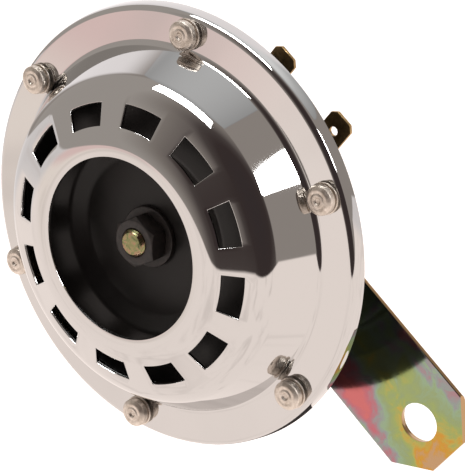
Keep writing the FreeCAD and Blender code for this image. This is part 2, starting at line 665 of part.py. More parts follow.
def make_tone_disc():
    """Dished steel disc that rings with the diaphragm."""
    rim = f"({DISC_FRONT} + disc_dish_rise)"
    body = press("tone_disc", [
        ("stud_radius + stud_play", DISC_FRONT, None),
        (DISH_RADIUS, DISC_FRONT, "disc_bend"),
        (f"{DISH_RADIUS} + disc_dish_run", rim, "disc_bend"),
        (DISC_RADIUS, rim, None),
    ], "0 - disc_gauge")
    return hang(body, "tone_disc")


def make_armature():
    """Turned steel plunger with a collar that opens the breaker, and the threaded stud."""
    body = new_body("armature")
    turn(body, "armature_turned", [
        ("0", PLUNGER_FACE),
        ("plunger_radius - plunger_chamfer", PLUNGER_FACE),
        ("plunger_radius", f"{PLUNGER_FACE} + plunger_chamfer"),
        ("plunger_radius", COLLAR_BACK),
        ("collar_radius", COLLAR_BACK),
        ("collar_radius", COLLAR_FRONT),
        ("stud_radius", COLLAR_FRONT),
        ("stud_radius", "stud_tip - stud_chamfer"),
        ("stud_radius - stud_chamfer", "stud_tip"),
        ("0", "stud_tip"),
    ])
    return hang(body, "armature")


def make_pole_core():
    """Fixed core of the magnet, with the rear stud that holds the bracket."""
    stud_end = f"({BRACKET_NUT_BACK} - mount_stud_past)"
    body = new_body("pole_core")
    turn(body, "pole_core_turned", [
        ("0", stud_end),
        ("mount_stud_radius - mount_stud_chamfer", stud_end),
        ("mount_stud_radius", f"{stud_end} + mount_stud_chamfer"),
        ("mount_stud_radius", FLOOR),
        ("core_radius", FLOOR),
        ("core_radius", f"{CORE_FACE} - plunger_chamfer"),
        ("core_radius - plunger_chamfer", CORE_FACE),
        ("0", CORE_FACE),
    ])
    return hang(body, "pole_core")


def make_coil():
    tube = "(core_radius + bobbin_play)"
    drum = f"({tube} + bobbin_wall)"
    body = new_body("coil_bobbin")
    turn(body, "coil_bobbin_turned", [
        (tube, FLOOR),
        (BOBBIN_RADIUS, FLOOR),
        (BOBBIN_RADIUS, f"{FLOOR} + bobbin_flange"),
        (drum, f"{FLOOR} + bobbin_flange"),
        (drum, f"{BOBBIN_FRONT} - bobbin_flange"),
        (BOBBIN_RADIUS, f"{BOBBIN_FRONT} - bobbin_flange"),
        (BOBBIN_RADIUS, BOBBIN_FRONT),
        (tube, BOBBIN_FRONT),
    ])
    hang(body, "coil_bobbin")
    winding = ring("coil_winding", drum, WINDING_RADIUS,
                   f"{FLOOR} + bobbin_flange", f"{BOBBIN_FRONT} - bobbin_flange")
    return hang(winding, "coil_winding")


def breaker_holes(radius):
    return [(f"0 - {BREAKER_REACH}", f"{side} * breaker_pitch / 2", radius) for side in (-1, 1)]


def stack_corners():
    """The breaker stack's outline, as its near and far edge and its half width."""
    return (f"(0 - {BREAKER_REACH} - breaker_depth / 2)",
            f"(0 - {BREAKER_REACH} + breaker_depth / 2)", "(breaker_width / 2)")


def make_insulator(label, low):
    far, near, half = stack_corners()
    holes = breaker_holes("breaker_rivet + breaker_rivet_play")
    corners = [(far, f"0 - {half}"), (near, f"0 - {half}"), (near, half), (far, half)]
    return hang(plate(label, corners, holes, low, "insulator_gauge"), label)


def arm_corners(width, end):
    """A contact arm: as wide as the stack inside it, and narrower out to its free end."""
    far, near, half = stack_corners()
    return [
        (far, f"0 - {half}"),
        (near, f"0 - {half}"),
        (f"{near} + arm_taper", f"0 - {width} / 2"),
        (f"0 - {end}", f"0 - {width} / 2"),
        (f"0 - {end}", f"{width} / 2"),
        (f"{near} + arm_taper", f"{width} / 2"),
        (near, half),
        (far, half),
    ]


def make_disc_piece(label, reach, radius, low, height):
    """A small round piece that stands on one of the breaker's arms."""
    body = new_body(label)
    sketch = new_sketch(body, label + "_circle", "XY_Plane", low)
    draw_circle(sketch, f"0 - {reach}", "0", radius)
    pad = body.newObject("PartDesign::Pad", label + "_pad")
    pad.Profile = sketch
    bind(pad, "Length", height)
    doc.recompute()
    return hang(body, label)


def make_breaker():
    """Contact breaker on the ledge; the armature's collar pushes its spring open."""
    holes = breaker_holes("breaker_rivet + breaker_rivet_play")
    make_insulator("breaker_rear_insulator", LEDGE_FRONT)
    window = (f"0 - {SCREW_REACH}", "0", "screw_window")
    spring = plate("breaker_spring", arm_corners("spring_width", "spring_end"),
                   holes + [window], SPRING_BACK, "spring_gauge")
    hang(spring, "breaker_spring")
    make_insulator("breaker_middle_insulator", SPRING_FRONT)
    arm = plate("fixed_contact_arm", arm_corners("arm_width", "arm_end"), holes,
                ARM_BACK, "arm_gauge")
    hang(arm, "fixed_contact_arm")
    make_insulator("breaker_front_insulator", ARM_FRONT)
    make_disc_piece("moving_contact", CONTACT_REACH, "contact_radius",
                    SPRING_FRONT, "insulator_gauge / 2")
    make_disc_piece("fixed_contact", CONTACT_REACH, "contact_radius",
                    CONTACT_LEVEL, "insulator_gauge / 2")
    make_disc_piece("push_pad", "pad_reach", "pad_radius", SPRING_FRONT,
                    f"{COLLAR_BACK} - pad_gap - {SPRING_FRONT}")


def make_breaker_rivets():
    body = new_body("breaker_rivets")
    levels = [
        ("breaker_rivet_head", f"({LEDGE_BACK} - breaker_rivet_head_height)",
         "breaker_rivet_head_height"),
        ("breaker_rivet", LEDGE_BACK, f"{STACK_FRONT} - {LEDGE_BACK}"),
        ("breaker_rivet_head", STACK_FRONT, "breaker_rivet_head_height"),
    ]
    for spot, (radius, low, height) in enumerate(levels):
        sketch = new_sketch(body, f"rivet_circles_{spot}", "XY_Plane", low)
        for across, along, size in breaker_holes(radius):
            draw_circle(sketch, across, along, size)
        pad = body.newObject("PartDesign::Pad", f"rivet_pad_{spot}")
        pad.Profile = sketch
        bind(pad, "Length", height)
        doc.recompute()
    return hang(body, "breaker_rivets")


def stand_off_axis(body):
    """Moves a piece that was turned on its own axis out to the adjusting screw's place."""
    bind(body, ".Placement.Base.x", f"0 - {SCREW_REACH}")


def make_adjuster():
    """Adjusting screw in a bush in the housing's floor, with its lock nut and tip."""
    end = f"({LOCK_NUT_BACK} - screw_past)"
    tip = f"({ARM_BACK} - tip_length)"
    screw = new_body("adjusting_screw")
    turn(screw, "adjusting_screw_turned", [
        ("0", end),
        ("screw_radius - screw_chamfer", end),
        ("screw_radius", f"{end} + screw_chamfer"),
        ("screw_radius", tip),
        ("0", tip),
    ])
    slot = new_sketch(screw, "driver_slot_outline", "XY_Plane", f"{end} + screw_slot_depth")
    half = "(screw_slot / 2)"
    draw_outline(slot, [
        ("0 - screw_radius - 1", f"0 - {half}"),
        ("screw_radius + 1", f"0 - {half}"),
        ("screw_radius + 1", half),
        ("0 - screw_radius - 1", half),
    ])
    cut(screw, slot, "driver_slot", "screw_slot_depth + 1")
    stand_off_axis(hang(screw, "adjusting_screw"))
    cap = ring("adjusting_screw_tip", "0", "tip_radius", tip, ARM_BACK)
    stand_off_axis(hang(cap, "adjusting_screw_tip"))
    thread = "(screw_radius + screw_play)"
    bush = new_body("adjuster_bush")
    turn(bush, "adjuster_bush_turned", [
        (thread, HOUSING_BACK),
        ("bush_neck", HOUSING_BACK),
        ("bush_neck", FLOOR),
        ("bush_radius", FLOOR),
        ("bush_radius", f"{FLOOR} + bush_length"),
        (thread, f"{FLOOR} + bush_length"),
    ])
    stand_off_axis(hang(bush, "adjuster_bush"))
    nut = hexagon_nut("adjuster_lock_nut", "lock_nut_across", "lock_nut_height", thread,
                      LOCK_NUT_BACK, "0")
    stand_off_axis(hang(nut, "adjuster_lock_nut"))


def make_terminal_blade(label, side):
    """Flat push-on terminal with clipped tip corners and a locking hole."""
    low = f"({side} * {BLADE_SIDE} - blade_width / 2)"
    high = f"({side} * {BLADE_SIDE} + blade_width / 2)"
    tip = f"(0 - {BLADE_TIP})"
    corners = [
        (f"{tip} + blade_clip", low),
        (f"0 - {BLADE_TAIL}", low),
        (f"0 - {BLADE_TAIL}", high),
        (f"{tip} + blade_clip", high),
        (tip, f"{high} - blade_clip"),
        (tip, f"{low} + blade_clip"),
    ]
    hole = (f"{tip} + blade_hole_inset", f"{side} * {BLADE_SIDE}", "blade_hole")
    body = plate(label, corners, [hole], f"{BLADE_LEVEL} - blade_gauge / 2", "blade_gauge")
    return hang(body, label)


def box_between(name, low, high):
    """A block between two opposite corners, each given as three expressions."""
    block = doc.addObject("Part::Box", name)
    for setting, start, end in zip(("Length", "Width", "Height"), low, high):
        bind(block, setting, f"({end}) - ({start})")
    for axis, start in zip("xyz", low):
        bind(block, f".Placement.Base.{axis}", start)
    return block


def lying_cylinder(name, along, radius, start, end):
    """A round bar along the first axis, from its start out to its end."""
    bar = doc.addObject("Part::Cylinder", name)
    bar.Placement.Rotation = Rotation(Vector(0, 1, 0), 90)
    bind(bar, "Radius", radius)
    bind(bar, "Height", f"({end}) - ({start})")
    bind(bar, ".Placement.Base.x", start)
    bind(bar, ".Placement.Base.y", along)
    bind(bar, ".Placement.Base.z", BLADE_LEVEL)
    return bar


def block_rivet_bars(name, radius, start, end):
    return [lying_cylinder(f"{name}_{spot}", f"{side} * block_rivet_pitch / 2", radius, start, end)
            for spot, side in enumerate((-1, 1))]


def fuse(name, shapes):
    joined = doc.addObject("Part::MultiFuse", name)
    joined.Shapes = shapes
    return joined


def make_terminal_block():
    """Moulded block on the cup's wall; its tongue passes through the housing."""
    outer = box_between("block_outer", (
        f"0 - {BLOCK_FACE}", "0 - block_width / 2", f"{BLADE_LEVEL} - block_height / 2"), (
        f"0 - {BOBBIN_RADIUS}", "block_width / 2", f"{BLADE_LEVEL} + block_height / 2"))
    wall = doc.addObject("Part::Cylinder", "block_seat")
    bind(wall, "Radius", CUP_RADIUS)
    bind(wall, "Height", "block_height + 2")
    bind(wall, ".Placement.Base.z", f"{BLADE_LEVEL} - block_height / 2 - 1")
    seated = doc.addObject("Part::Cut", "block_seated")
    seated.Base = outer
    seated.Tool = wall
    rounded = doc.addObject("Part::Fillet", "block_rounded")
    rounded.Base = seated
    doc.recompute()
    front = value(f"0 - {BLOCK_FACE}")
    radius = value("block_round")
    rounded.Edges = [(spot, radius, radius) for spot, edge in enumerate(seated.Shape.Edges, start=1)
                     if all(abs(point.X - front) < 0.001 for point in edge.Vertexes)]
    tongue = box_between("block_tongue", (
        f"0 - {BLOCK_FACE} + block_round", f"0 - {TONGUE_SIDE}",
        f"{BLADE_LEVEL} - tongue_height / 2"), (
        f"0 - {TONGUE_END}", TONGUE_SIDE, f"{BLADE_LEVEL} + tongue_height / 2"))
    solid = fuse("block_solid", [rounded, tongue])
    half_width = "(blade_width / 2 + blade_play)"
    half_gauge = "(blade_gauge / 2 + blade_play)"
    passages = [box_between(f"blade_passage_{spot}", (
        f"0 - {BLADE_TIP}", f"{side} * {BLADE_SIDE} - {half_width}",
        f"{BLADE_LEVEL} - {half_gauge}"), (
        f"0 - {BLADE_TAIL}", f"{side} * {BLADE_SIDE} + {half_width}",
        f"{BLADE_LEVEL} + {half_gauge}")) for spot, side in enumerate((-1, 1))]
    passages += block_rivet_bars("rivet_passage", "block_rivet", f"(0 - {BLOCK_FACE} - 1)",
                                 f"(0 - {BLADE_TAIL})")
    block = doc.addObject("Part::Cut", "terminal_block")
    block.Base = solid
    block.Tool = fuse("block_passages", passages)
    doc.recompute()
    return hang(block, "terminal_block")


def make_terminal_block_rivets():
    outer_face = f"(0 - {BLOCK_FACE})"
    inner_face = f"(0 - {TONGUE_END})"
    bars = block_rivet_bars("block_rivet_head", "block_rivet_head",
                            f"({outer_face} - block_rivet_head_height)", outer_face)
    bars += block_rivet_bars("block_rivet_shank", "block_rivet",
                             f"({outer_face} - block_rivet_head_height)",
                             f"({inner_face} + block_rivet_head_height)")
    bars += block_rivet_bars("block_rivet_tail", "block_rivet_head", inner_face,
                             f"({inner_face} + block_rivet_head_height)")
    rivets = fuse("terminal_block_rivets", bars)
    doc.recompute()
    return hang(rivets, "terminal_block_rivets")


def make_bracket():
    """Flat plated strap, round at the horn's stud and clipped at the mounting hole."""
    half = "(strap_width / 2)"
    end = "(hole_reach + strap_end)"
    corners = [
        (half, "0"),
        (half, f"{end} - strap_clip"),
        (f"{half} - strap_clip", end),
        (f"0 - {half} + strap_clip", end),
        (f"0 - {half}", f"{end} - strap_clip"),
        (f"0 - {half}", "0"),
    ]
    body = new_body("bracket")
    sketch = new_sketch(body, "strap_outline", "XY_Plane", STRAP_BACK)
    points = [Vector(value(across), value(along), 0) for across, along in corners]
    lines = [sketch.addGeometry(Part.LineSegment(first, last))
             for first, last in zip(points, points[1:])]
    for spot, line in enumerate(lines):
        pin(sketch, line, 1, *corners[spot])
        if spot > 0:
            limit(sketch, "Coincident", lines[spot - 1], 2, line, 1)
    pin(sketch, lines[-1], 2, *corners[-1])
    circle = Part.Circle(Vector(), Vector(0, 0, 1), value(half))
    arc = sketch.addGeometry(Part.ArcOfCircle(circle, math.pi, 2 * math.pi))
    limit(sketch, "Coincident", arc, 1, lines[-1], 2)
    limit(sketch, "Coincident", arc, 2, lines[0], 1)
    limit(sketch, "PointOnObject", arc, 3, -1)
    draw_circle(sketch, "0", "0", "mount_stud_radius + mount_stud_play")
    draw_circle(sketch, "0", "hole_reach", "mount_hole")
    pad = body.newObject("PartDesign::Pad", "strap_pad")
    pad.Profile = sketch
    bind(pad, "Length", "strap_gauge")
    doc.recompute()
    return hang(body, "bracket")


def make_bracket_fixing():
    """Split lock washer and hexagon nut on the horn's rear stud."""
    thread = "(mount_stud_radius + mount_stud_play)"
    washer = ring("bracket_lock_washer", thread, "lock_washer_radius",
                  f"{STRAP_BACK} - lock_washer_gauge", STRAP_BACK)
    split = new_sketch(washer, "split_outline", "XY_Plane", STRAP_BACK)
    draw_outline(split, [
        ("0", "0 - lock_washer_split / 2"),
        ("lock_washer_radius + 1", "0 - lock_washer_split / 2"),
        ("lock_washer_radius + 1", "lock_washer_split / 2"),
        ("0", "lock_washer_split / 2"),
    ])
    cut(washer, split, "split")
    hang(washer, "bracket_lock_washer")
    nut = hexagon_nut("bracket_nut", "bracket_nut_across", "bracket_nut_height",
                      "mount_stud_radius", BRACKET_NUT_BACK, "bracket_nut_turn")
    hang(nut, "bracket_nut")


make_front_cover()
make_gasket("front_gasket", GASKET_FRONT)
make_diaphragm()
make_gasket("rear_gasket", DIAPHRAGM_BACK)
make_housing()
make_rim_rivets()
make_rim_rivet_washers()
make_tone_disc()
hang(ring("disc_spacer", "stud_radius + stud_play", "spacer_radius",
          DIAPHRAGM_FRONT, "disc_seat"), "disc_spacer")
hang(ring("disc_washer", "stud_radius + stud_play", "washer_radius",
          DISC_FRONT, NUT_SEAT), "disc_washer")
hang(hexagon_nut("disc_nut", "disc_nut_across", "disc_nut_height", "stud_radius",
                 NUT_SEAT, "disc_nut_turn"), "disc_nut")
hang(ring("diaphragm_washer", "stud_radius + stud_play", "backing_radius",
          COLLAR_FRONT, DIAPHRAGM_BACK), "diaphragm_washer")
make_armature()
make_pole_core()
make_coil()
make_breaker()
make_breaker_rivets()
make_adjuster()
make_terminal_block()
make_terminal_block_rivets()
make_terminal_blade("coil_terminal", -1)
make_terminal_blade("breaker_terminal", 1)
make_bracket()
make_bracket_fixing()
doc.recompute()

for item in doc.Objects:
    if "Invalid" in item.State or "Error" in item.State:
        raise RuntimeError(f"{item.Name} failed: {item.State}")
for node in nodes:
    if node.Shape.isNull() or not node.Shape.isValid():
        raise RuntimeError(f"{node.Label} has no valid shape")

os.makedirs("parts", exist_ok=True)
for node in nodes:
    node.Shape.exportStep(os.path.join("parts", node.Label + ".step"))
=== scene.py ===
import math

import bmesh
import bpy
from mathutils import Matrix, Vector


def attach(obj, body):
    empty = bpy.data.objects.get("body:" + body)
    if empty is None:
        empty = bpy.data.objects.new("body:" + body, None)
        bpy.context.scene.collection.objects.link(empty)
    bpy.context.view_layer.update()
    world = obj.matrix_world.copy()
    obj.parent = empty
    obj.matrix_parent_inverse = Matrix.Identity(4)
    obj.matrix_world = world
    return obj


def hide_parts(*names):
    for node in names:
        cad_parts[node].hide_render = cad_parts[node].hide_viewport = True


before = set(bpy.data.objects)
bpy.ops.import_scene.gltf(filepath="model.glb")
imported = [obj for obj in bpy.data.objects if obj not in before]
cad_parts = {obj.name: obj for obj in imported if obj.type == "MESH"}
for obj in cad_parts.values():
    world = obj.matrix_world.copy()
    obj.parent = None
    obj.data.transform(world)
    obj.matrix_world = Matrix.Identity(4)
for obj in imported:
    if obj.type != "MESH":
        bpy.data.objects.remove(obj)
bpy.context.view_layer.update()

# Electric disc horn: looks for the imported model. Sizes are in millimetres and turned to
# metres where a piece is made. Each round piece is made round its own Z axis, with the
# sound leaving along +Z and zero at the cover's flange face, and is then put in its place.

MM = 0.001
STRAP_GAUGE = 2.0
HOUSING_DEPTH = 25.9
HOLE_REACH = 64.4
HORN_PLACE = Matrix.Translation((0, -(STRAP_GAUGE + HOUSING_DEPTH) * MM, -HOLE_REACH * MM))
HORN_PLACE = HORN_PLACE @ Matrix.Rotation(math.radians(90), 4, "X")

COVER_GAUGE = 0.8
RIM_RADIUS = 49.48
RIM_DEPTH = 3.3
SLOT_COUNT = 12
SLOT_INNER = 26.15
SLOT_OUTER = 30.8
SLOT_HALF_ANGLE = 8.9
RIVET_COUNT = 6
RIVET_CIRCLE = 44.8

# Sockets of a colour Mix node.
SHARE, LOWER, UPPER, MIXED = 0, 6, 7, 2


def linear(code):
    """An sRGB hex colour as the linear colour that shader sockets take."""
    parts = [int(code[spot:spot + 2], 16) / 255 for spot in (1, 3, 5)]
    return [part / 12.92 if part <= 0.04045 else ((part + 0.055) / 1.055) ** 2.4
            for part in parts] + [1.0]


def join(tree, source, socket):
    """Links a socket, or a node's first output, to a socket."""
    source = source.outputs[0] if isinstance(source, bpy.types.Node) else source
    tree.links.new(source, socket)


def add_node(tree, kind, values=None, links=None, stops=(), **settings):
    """Adds a node with its settings, its sockets' values and links, and a ramp's stops."""
    node = tree.nodes.new(kind)
    for name, setting in settings.items():
        setattr(node, name, setting)
    for socket, number in (values or {}).items():
        node.inputs[socket].default_value = number
    for socket, source in (links or {}).items():
        join(tree, source, node.inputs[socket])
    for number, (position, shade) in enumerate(stops):
        steps = node.color_ramp.elements
        step = steps[number] if number < len(steps) else steps.new(position)
        step.position = position
        step.color = shade
    return node


def new_material(name, values):
    """A material with one Principled shader; returns it, its tree and its coordinates."""
    material = bpy.data.materials.new(name)
    material.use_nodes = True
    tree = material.node_tree
    for socket, number in values.items():
        tree.nodes["Principled BSDF"].inputs[socket].default_value = number
    return material, tree, add_node(tree, "ShaderNodeTexCoord").outputs["Object"]


def feed(tree, sources):
    """Joins nodes to sockets of the material's shader."""
    for socket, source in sources.items():
        join(tree, source, tree.nodes["Principled BSDF"].inputs[socket])


def across(size_mm, detail=2.0, roughness=0.5, distortion=0.0):
    """The socket values of a noise whose blotches are about size_mm across."""
    return {"Scale": 1 / (size_mm * MM), "Detail": detail, "Roughness": roughness,
            "Distortion": distortion}


def grey(level):
    return [level, level, level, 1.0]


# Materials.

def make_chrome():
    """Bright chromium plate on pressed steel: a mirror with the sheet's faint unevenness."""
    material, tree, place = new_material("bright_chrome_plate", {
        "Base Color": linear("#C6C5C4"), "Metallic": 1.0})
    haze = add_node(tree, "ShaderNodeTexNoise", across(9.0, 3.0), {"Vector": place})
    waves = add_node(tree, "ShaderNodeTexNoise", across(7.0, 1.0), {"Vector": place})
    feed(tree, {
        "Roughness": add_node(tree, "ShaderNodeValToRGB", links={"Fac": haze}, stops=[
            (0.3, grey(0.02)), (0.75, grey(0.06))]),
        "Normal": add_node(tree, "ShaderNodeBump", {"Strength": 0.12, "Distance": 0.02 * MM},
                           {"Height": waves})})
    return material


def make_nickel():
    """Dull nickel plate on headed steel rivets: soft, warm, with tumbling marks."""
    material, tree, place = new_material("dull_nickel_plate", {"Metallic": 1.0})
    stain = add_node(tree, "ShaderNodeTexNoise", across(1.4, 4.0, 0.6), {"Vector": place})
    wear = add_node(tree, "ShaderNodeTexNoise", across(0.6, 3.0), {"Vector": place})
    grain = add_node(tree, "ShaderNodeTexNoise", across(0.35, 3.0), {"Vector": place})
    feed(tree, {
        "Base Color": add_node(tree, "ShaderNodeValToRGB", links={"Fac": stain}, stops=[
            (0.3, linear("#C3B8AB")), (0.62, linear("#EAE1D7"))]),
        "Roughness": add_node(tree, "ShaderNodeValToRGB", links={"Fac": wear}, stops=[
            (0.3, grey(0.42)), (0.7, grey(0.58))]),
        "Normal": add_node(tree, "ShaderNodeBump", {"Strength": 0.4, "Distance": 0.02 * MM},
                           {"Height": grain})})
    return material


def make_black_enamel():
    """Stoved black enamel: deep black, a soft sheen, faint orange peel."""
    material, tree, place = new_material("stoved_black_enamel", {
        "IOR": 1.5, "Specular IOR Level": 0.25})
    depth = add_node(tree, "ShaderNodeTexNoise", across(6.0, 3.0), {"Vector": place})
    peel = add_node(tree, "ShaderNodeTexNoise", across(0.9), {"Vector": place})
    feed(tree, {
        "Base Color": add_node(tree, "ShaderNodeValToRGB", links={"Fac": depth}, stops=[
            (0.3, linear("#131110")), (0.7, linear("#1C1918"))]),
        "Roughness": add_node(tree, "ShaderNodeValToRGB", links={"Fac": depth}, stops=[
            (0.3, grey(0.34)), (0.7, grey(0.44))]),
        "Normal": add_node(tree, "ShaderNodeBump", {"Strength": 0.35, "Distance": 0.012 * MM},
                           {"Height": peel})})
    return material


def make_black_oxide():
    """Chemically blackened steel: near black, satin, browner where it is rubbed."""
    material, tree, place = new_material("black_oxide_steel", {
        "Roughness": 0.5, "IOR": 1.5})
    rub = add_node(tree, "ShaderNodeTexNoise", across(1.1, 4.0, 0.6), {"Vector": place})
    grain = add_node(tree, "ShaderNodeTexNoise", across(0.4), {"Vector": place})
    feed(tree, {
        "Base Color": add_node(tree, "ShaderNodeValToRGB", links={"Fac": rub}, stops=[
            (0.35, linear("#1A1716")), (0.8, linear("#352C28"))]),
        "Normal": add_node(tree, "ShaderNodeBump", {"Strength": 0.4, "Distance": 0.01 * MM},
                           {"Height": grain})})
    return material


def make_yellow_zinc(name, size_mm, shades):
    """Yellow-passivated zinc: a thin film whose colour drifts through the shades given."""
    material, tree, place = new_material(name, {"Metallic": 1.0})
    film = add_node(tree, "ShaderNodeTexNoise", across(size_mm, 2.0, 0.5, 1.2),
                    {"Vector": place})
    wear = add_node(tree, "ShaderNodeTexNoise", across(0.8, 3.0), {"Vector": place})
    grain = add_node(tree, "ShaderNodeTexNoise", across(0.5, 3.0), {"Vector": place})
    first, spread = 0.28, 0.46
    step = spread / (len(shades) - 1)
    feed(tree, {
        "Base Color": add_node(tree, "ShaderNodeValToRGB", links={"Fac": film}, stops=[
            (first + step * number, linear(shade)) for number, shade in enumerate(shades)]),
        "Roughness": add_node(tree, "ShaderNodeValToRGB", links={"Fac": wear}, stops=[
            (0.3, grey(0.22)), (0.7, grey(0.36))]),
        "Normal": add_node(tree, "ShaderNodeBump", {"Strength": 0.4, "Distance": 0.01 * MM},
                           {"Height": grain})})
    return material


def make_strap_zinc():
    """The strap's passivated zinc. The film's thickness differs on the two sides of the
    hole, so its interference colours run from tan and orange past the hole through green
    to rose, and back to mauve at the right edge. The cut faces are tan."""
    material, tree, place = new_material("rainbow_passivated_zinc", {"Metallic": 1.0})
    spot = add_node(tree, "ShaderNodeSeparateXYZ", links={"Vector": place}).outputs
    near_hole, past_hole = (
        add_node(tree, "ShaderNodeMath", {1: start * MM}, {0: spot["Z"]}, operation="MAXIMUM")
        for start in (-13.0, 0.0))
    sides = []
    for start, slopes in ((0.28, (-25.0, 0.0, -32.0)), (-0.33, (80.0, -52.0, 36.0)),
                          (2.25, (-130.0, 0.0, 0.0))):
        total = add_node(tree, "ShaderNodeMath", {0: start, 1: 0.0}, operation="ADD")
        for slope, reach in zip(slopes, (spot["X"], near_hole, past_hole)):
            total = add_node(tree, "ShaderNodeMath", {1: slope}, {0: reach, 2: total},
                             operation="MULTIPLY_ADD")
        sides.append(total)
    left_side, right_side, right_edge = sides
    film = add_node(tree, "ShaderNodeMath", {2: 0.12}, {0: left_side, 1: right_side},
                    operation="SMOOTH_MAX")
    film = add_node(tree, "ShaderNodeMath", {2: 0.12}, {0: film, 1: right_edge},
                    operation="SMOOTH_MIN")
    drift = add_node(tree, "ShaderNodeTexNoise", across(4.6, 3.0, 0.55, 0.8), {"Vector": place})
    drift = add_node(tree, "ShaderNodeMapRange", {
        "From Min": 0.3, "From Max": 0.7, "To Min": -0.2, "To Max": 0.13}, {"Value": drift})
    film = add_node(tree, "ShaderNodeMath", links={0: film, 1: drift}, operation="ADD")
    film = add_node(tree, "ShaderNodeMapRange", {"From Min": -0.1, "From Max": 1.0},
                    {"Value": film})
    colours = add_node(tree, "ShaderNodeValToRGB", links={"Fac": film}, stops=[
        (0.03, linear("#B1916D")), (0.10, linear("#BC8C3B")), (0.19, linear("#AA9F55")),
        (0.29, linear("#919F63")), (0.40, linear("#8A9A71")), (0.50, linear("#8AA185")),
        (0.59, linear("#8A9190")), (0.68, linear("#9A7F85")), (0.78, linear("#AE6A74")),
        (0.90, linear("#BB6B6C"))])
    middle = STRAP_GAUGE / 2
    depth = add_node(tree, "ShaderNodeMath", {1: middle * MM}, {0: spot["Y"]}, operation="ADD")
    depth = add_node(tree, "ShaderNodeMath", links={0: depth}, operation="ABSOLUTE")
    cut = add_node(tree, "ShaderNodeMapRange", {
        "From Min": (middle - 0.14) * MM, "From Max": (middle - 0.06) * MM,
        "To Min": 1.0, "To Max": 0.0}, {"Value": depth})
    mixed = add_node(tree, "ShaderNodeMix", {UPPER: linear("#AF8D63")},
                     {SHARE: cut, LOWER: colours}, data_type="RGBA")
    rolling = add_node(tree, "ShaderNodeMapping", {"Scale": (1.0, 1.0, 0.12)},
                       {"Vector": place})
    rolling = add_node(tree, "ShaderNodeTexNoise", across(1.2, 3.0, 0.6), {"Vector": rolling})
    feed(tree, {
        "Base Color": mixed.outputs[MIXED],
        "Roughness": add_node(tree, "ShaderNodeValToRGB", links={"Fac": rolling}, stops=[
            (0.3, grey(0.06)), (0.7, grey(0.12))]),
        "Normal": add_node(tree, "ShaderNodeBump", {"Strength": 0.2, "Distance": 0.004 * MM},
                           {"Height": rolling})})
    return material


def make_brass():
    """Stamped brass left to tarnish: brown-gold, with darker stains."""
    material, tree, place = new_material("tarnished_brass", {"Metallic": 1.0})
    stain = add_node(tree, "ShaderNodeTexNoise", across(2.4, 4.0, 0.6, 0.6), {"Vector": place})
    grain = add_node(tree, "ShaderNodeTexNoise", across(0.5, 3.0), {"Vector": place})
    feed(tree, {
        "Base Color": add_node(tree, "ShaderNodeValToRGB", links={"Fac": stain}, stops=[
            (0.3, linear("#87704D")), (0.5, linear("#AC8F63")), (0.75, linear("#D0B183"))]),
        "Roughness": add_node(tree, "ShaderNodeValToRGB", links={"Fac": stain}, stops=[
            (0.3, grey(0.5)), (0.75, grey(0.36))]),
        "Normal": add_node(tree, "ShaderNodeBump", {"Strength": 0.4, "Distance": 0.01 * MM},
                           {"Height": grain})})
    return material


def make_steel(name, dark, light, roughness):
    """Turned or rolled bright steel, finely scored."""
    material, tree, place = new_material(name, {"Metallic": 1.0, "Roughness": roughness})
    marks = add_node(tree, "ShaderNodeTexNoise", across(0.8, 4.0, 0.6), {"Vector": place})
    feed(tree, {
        "Base Color": add_node(tree, "ShaderNodeValToRGB", links={"Fac": marks}, stops=[
            (0.3, linear(dark)), (0.7, linear(light))]),
        "Normal": add_node(tree, "ShaderNodeBump", {"Strength": 0.3, "Distance": 0.01 * MM},
                           {"Height": marks})})
    return material


def make_dull(name, dark, light, roughness, grain_mm, depth_mm):
    """A non-metal with a fine mottle and grain: board, paper or moulded plastic."""
    material, tree, place = new_material(name, {"Roughness": roughness, "IOR": 1.5})
    mottle = add_node(tree, "ShaderNodeTexNoise", across(grain_mm * 5, 3.0), {"Vector": place})
    grain = add_node(tree, "ShaderNodeTexNoise", across(grain_mm, 3.0), {"Vector": place})
    feed(tree, {
        "Base Color": add_node(tree, "ShaderNodeValToRGB", links={"Fac": mottle}, stops=[
            (0.3, linear(dark)), (0.7, linear(light))]),
        "Normal": add_node(tree, "ShaderNodeBump", {"Strength": 0.6, "Distance": depth_mm * MM},
                           {"Height": grain})})
    return material


def make_winding():
    """Enamelled copper wire: fine turns side by side, reddish under clear enamel. A wave
    of scale 1 repeats every pi / 10."""
    material, tree, place = new_material("enamelled_copper_wire", {
        "Metallic": 1.0, "Roughness": 0.3})
    wire = 1.0
    turns = add_node(tree, "ShaderNodeTexWave", {
        "Scale": math.pi / 10 / (wire * MM), "Distortion": 0.2}, {"Vector": place},
        bands_direction="Y").outputs["Fac"]
    feed(tree, {
        "Base Color": add_node(tree, "ShaderNodeValToRGB", links={"Fac": turns}, stops=[
            (0.0, linear("#5E2612")), (0.5, linear("#B5562F"))]),
        "Normal": add_node(tree, "ShaderNodeBump", {"Strength": 0.8, "Distance": 0.12 * MM},
                           {"Height": turns})})
    return material


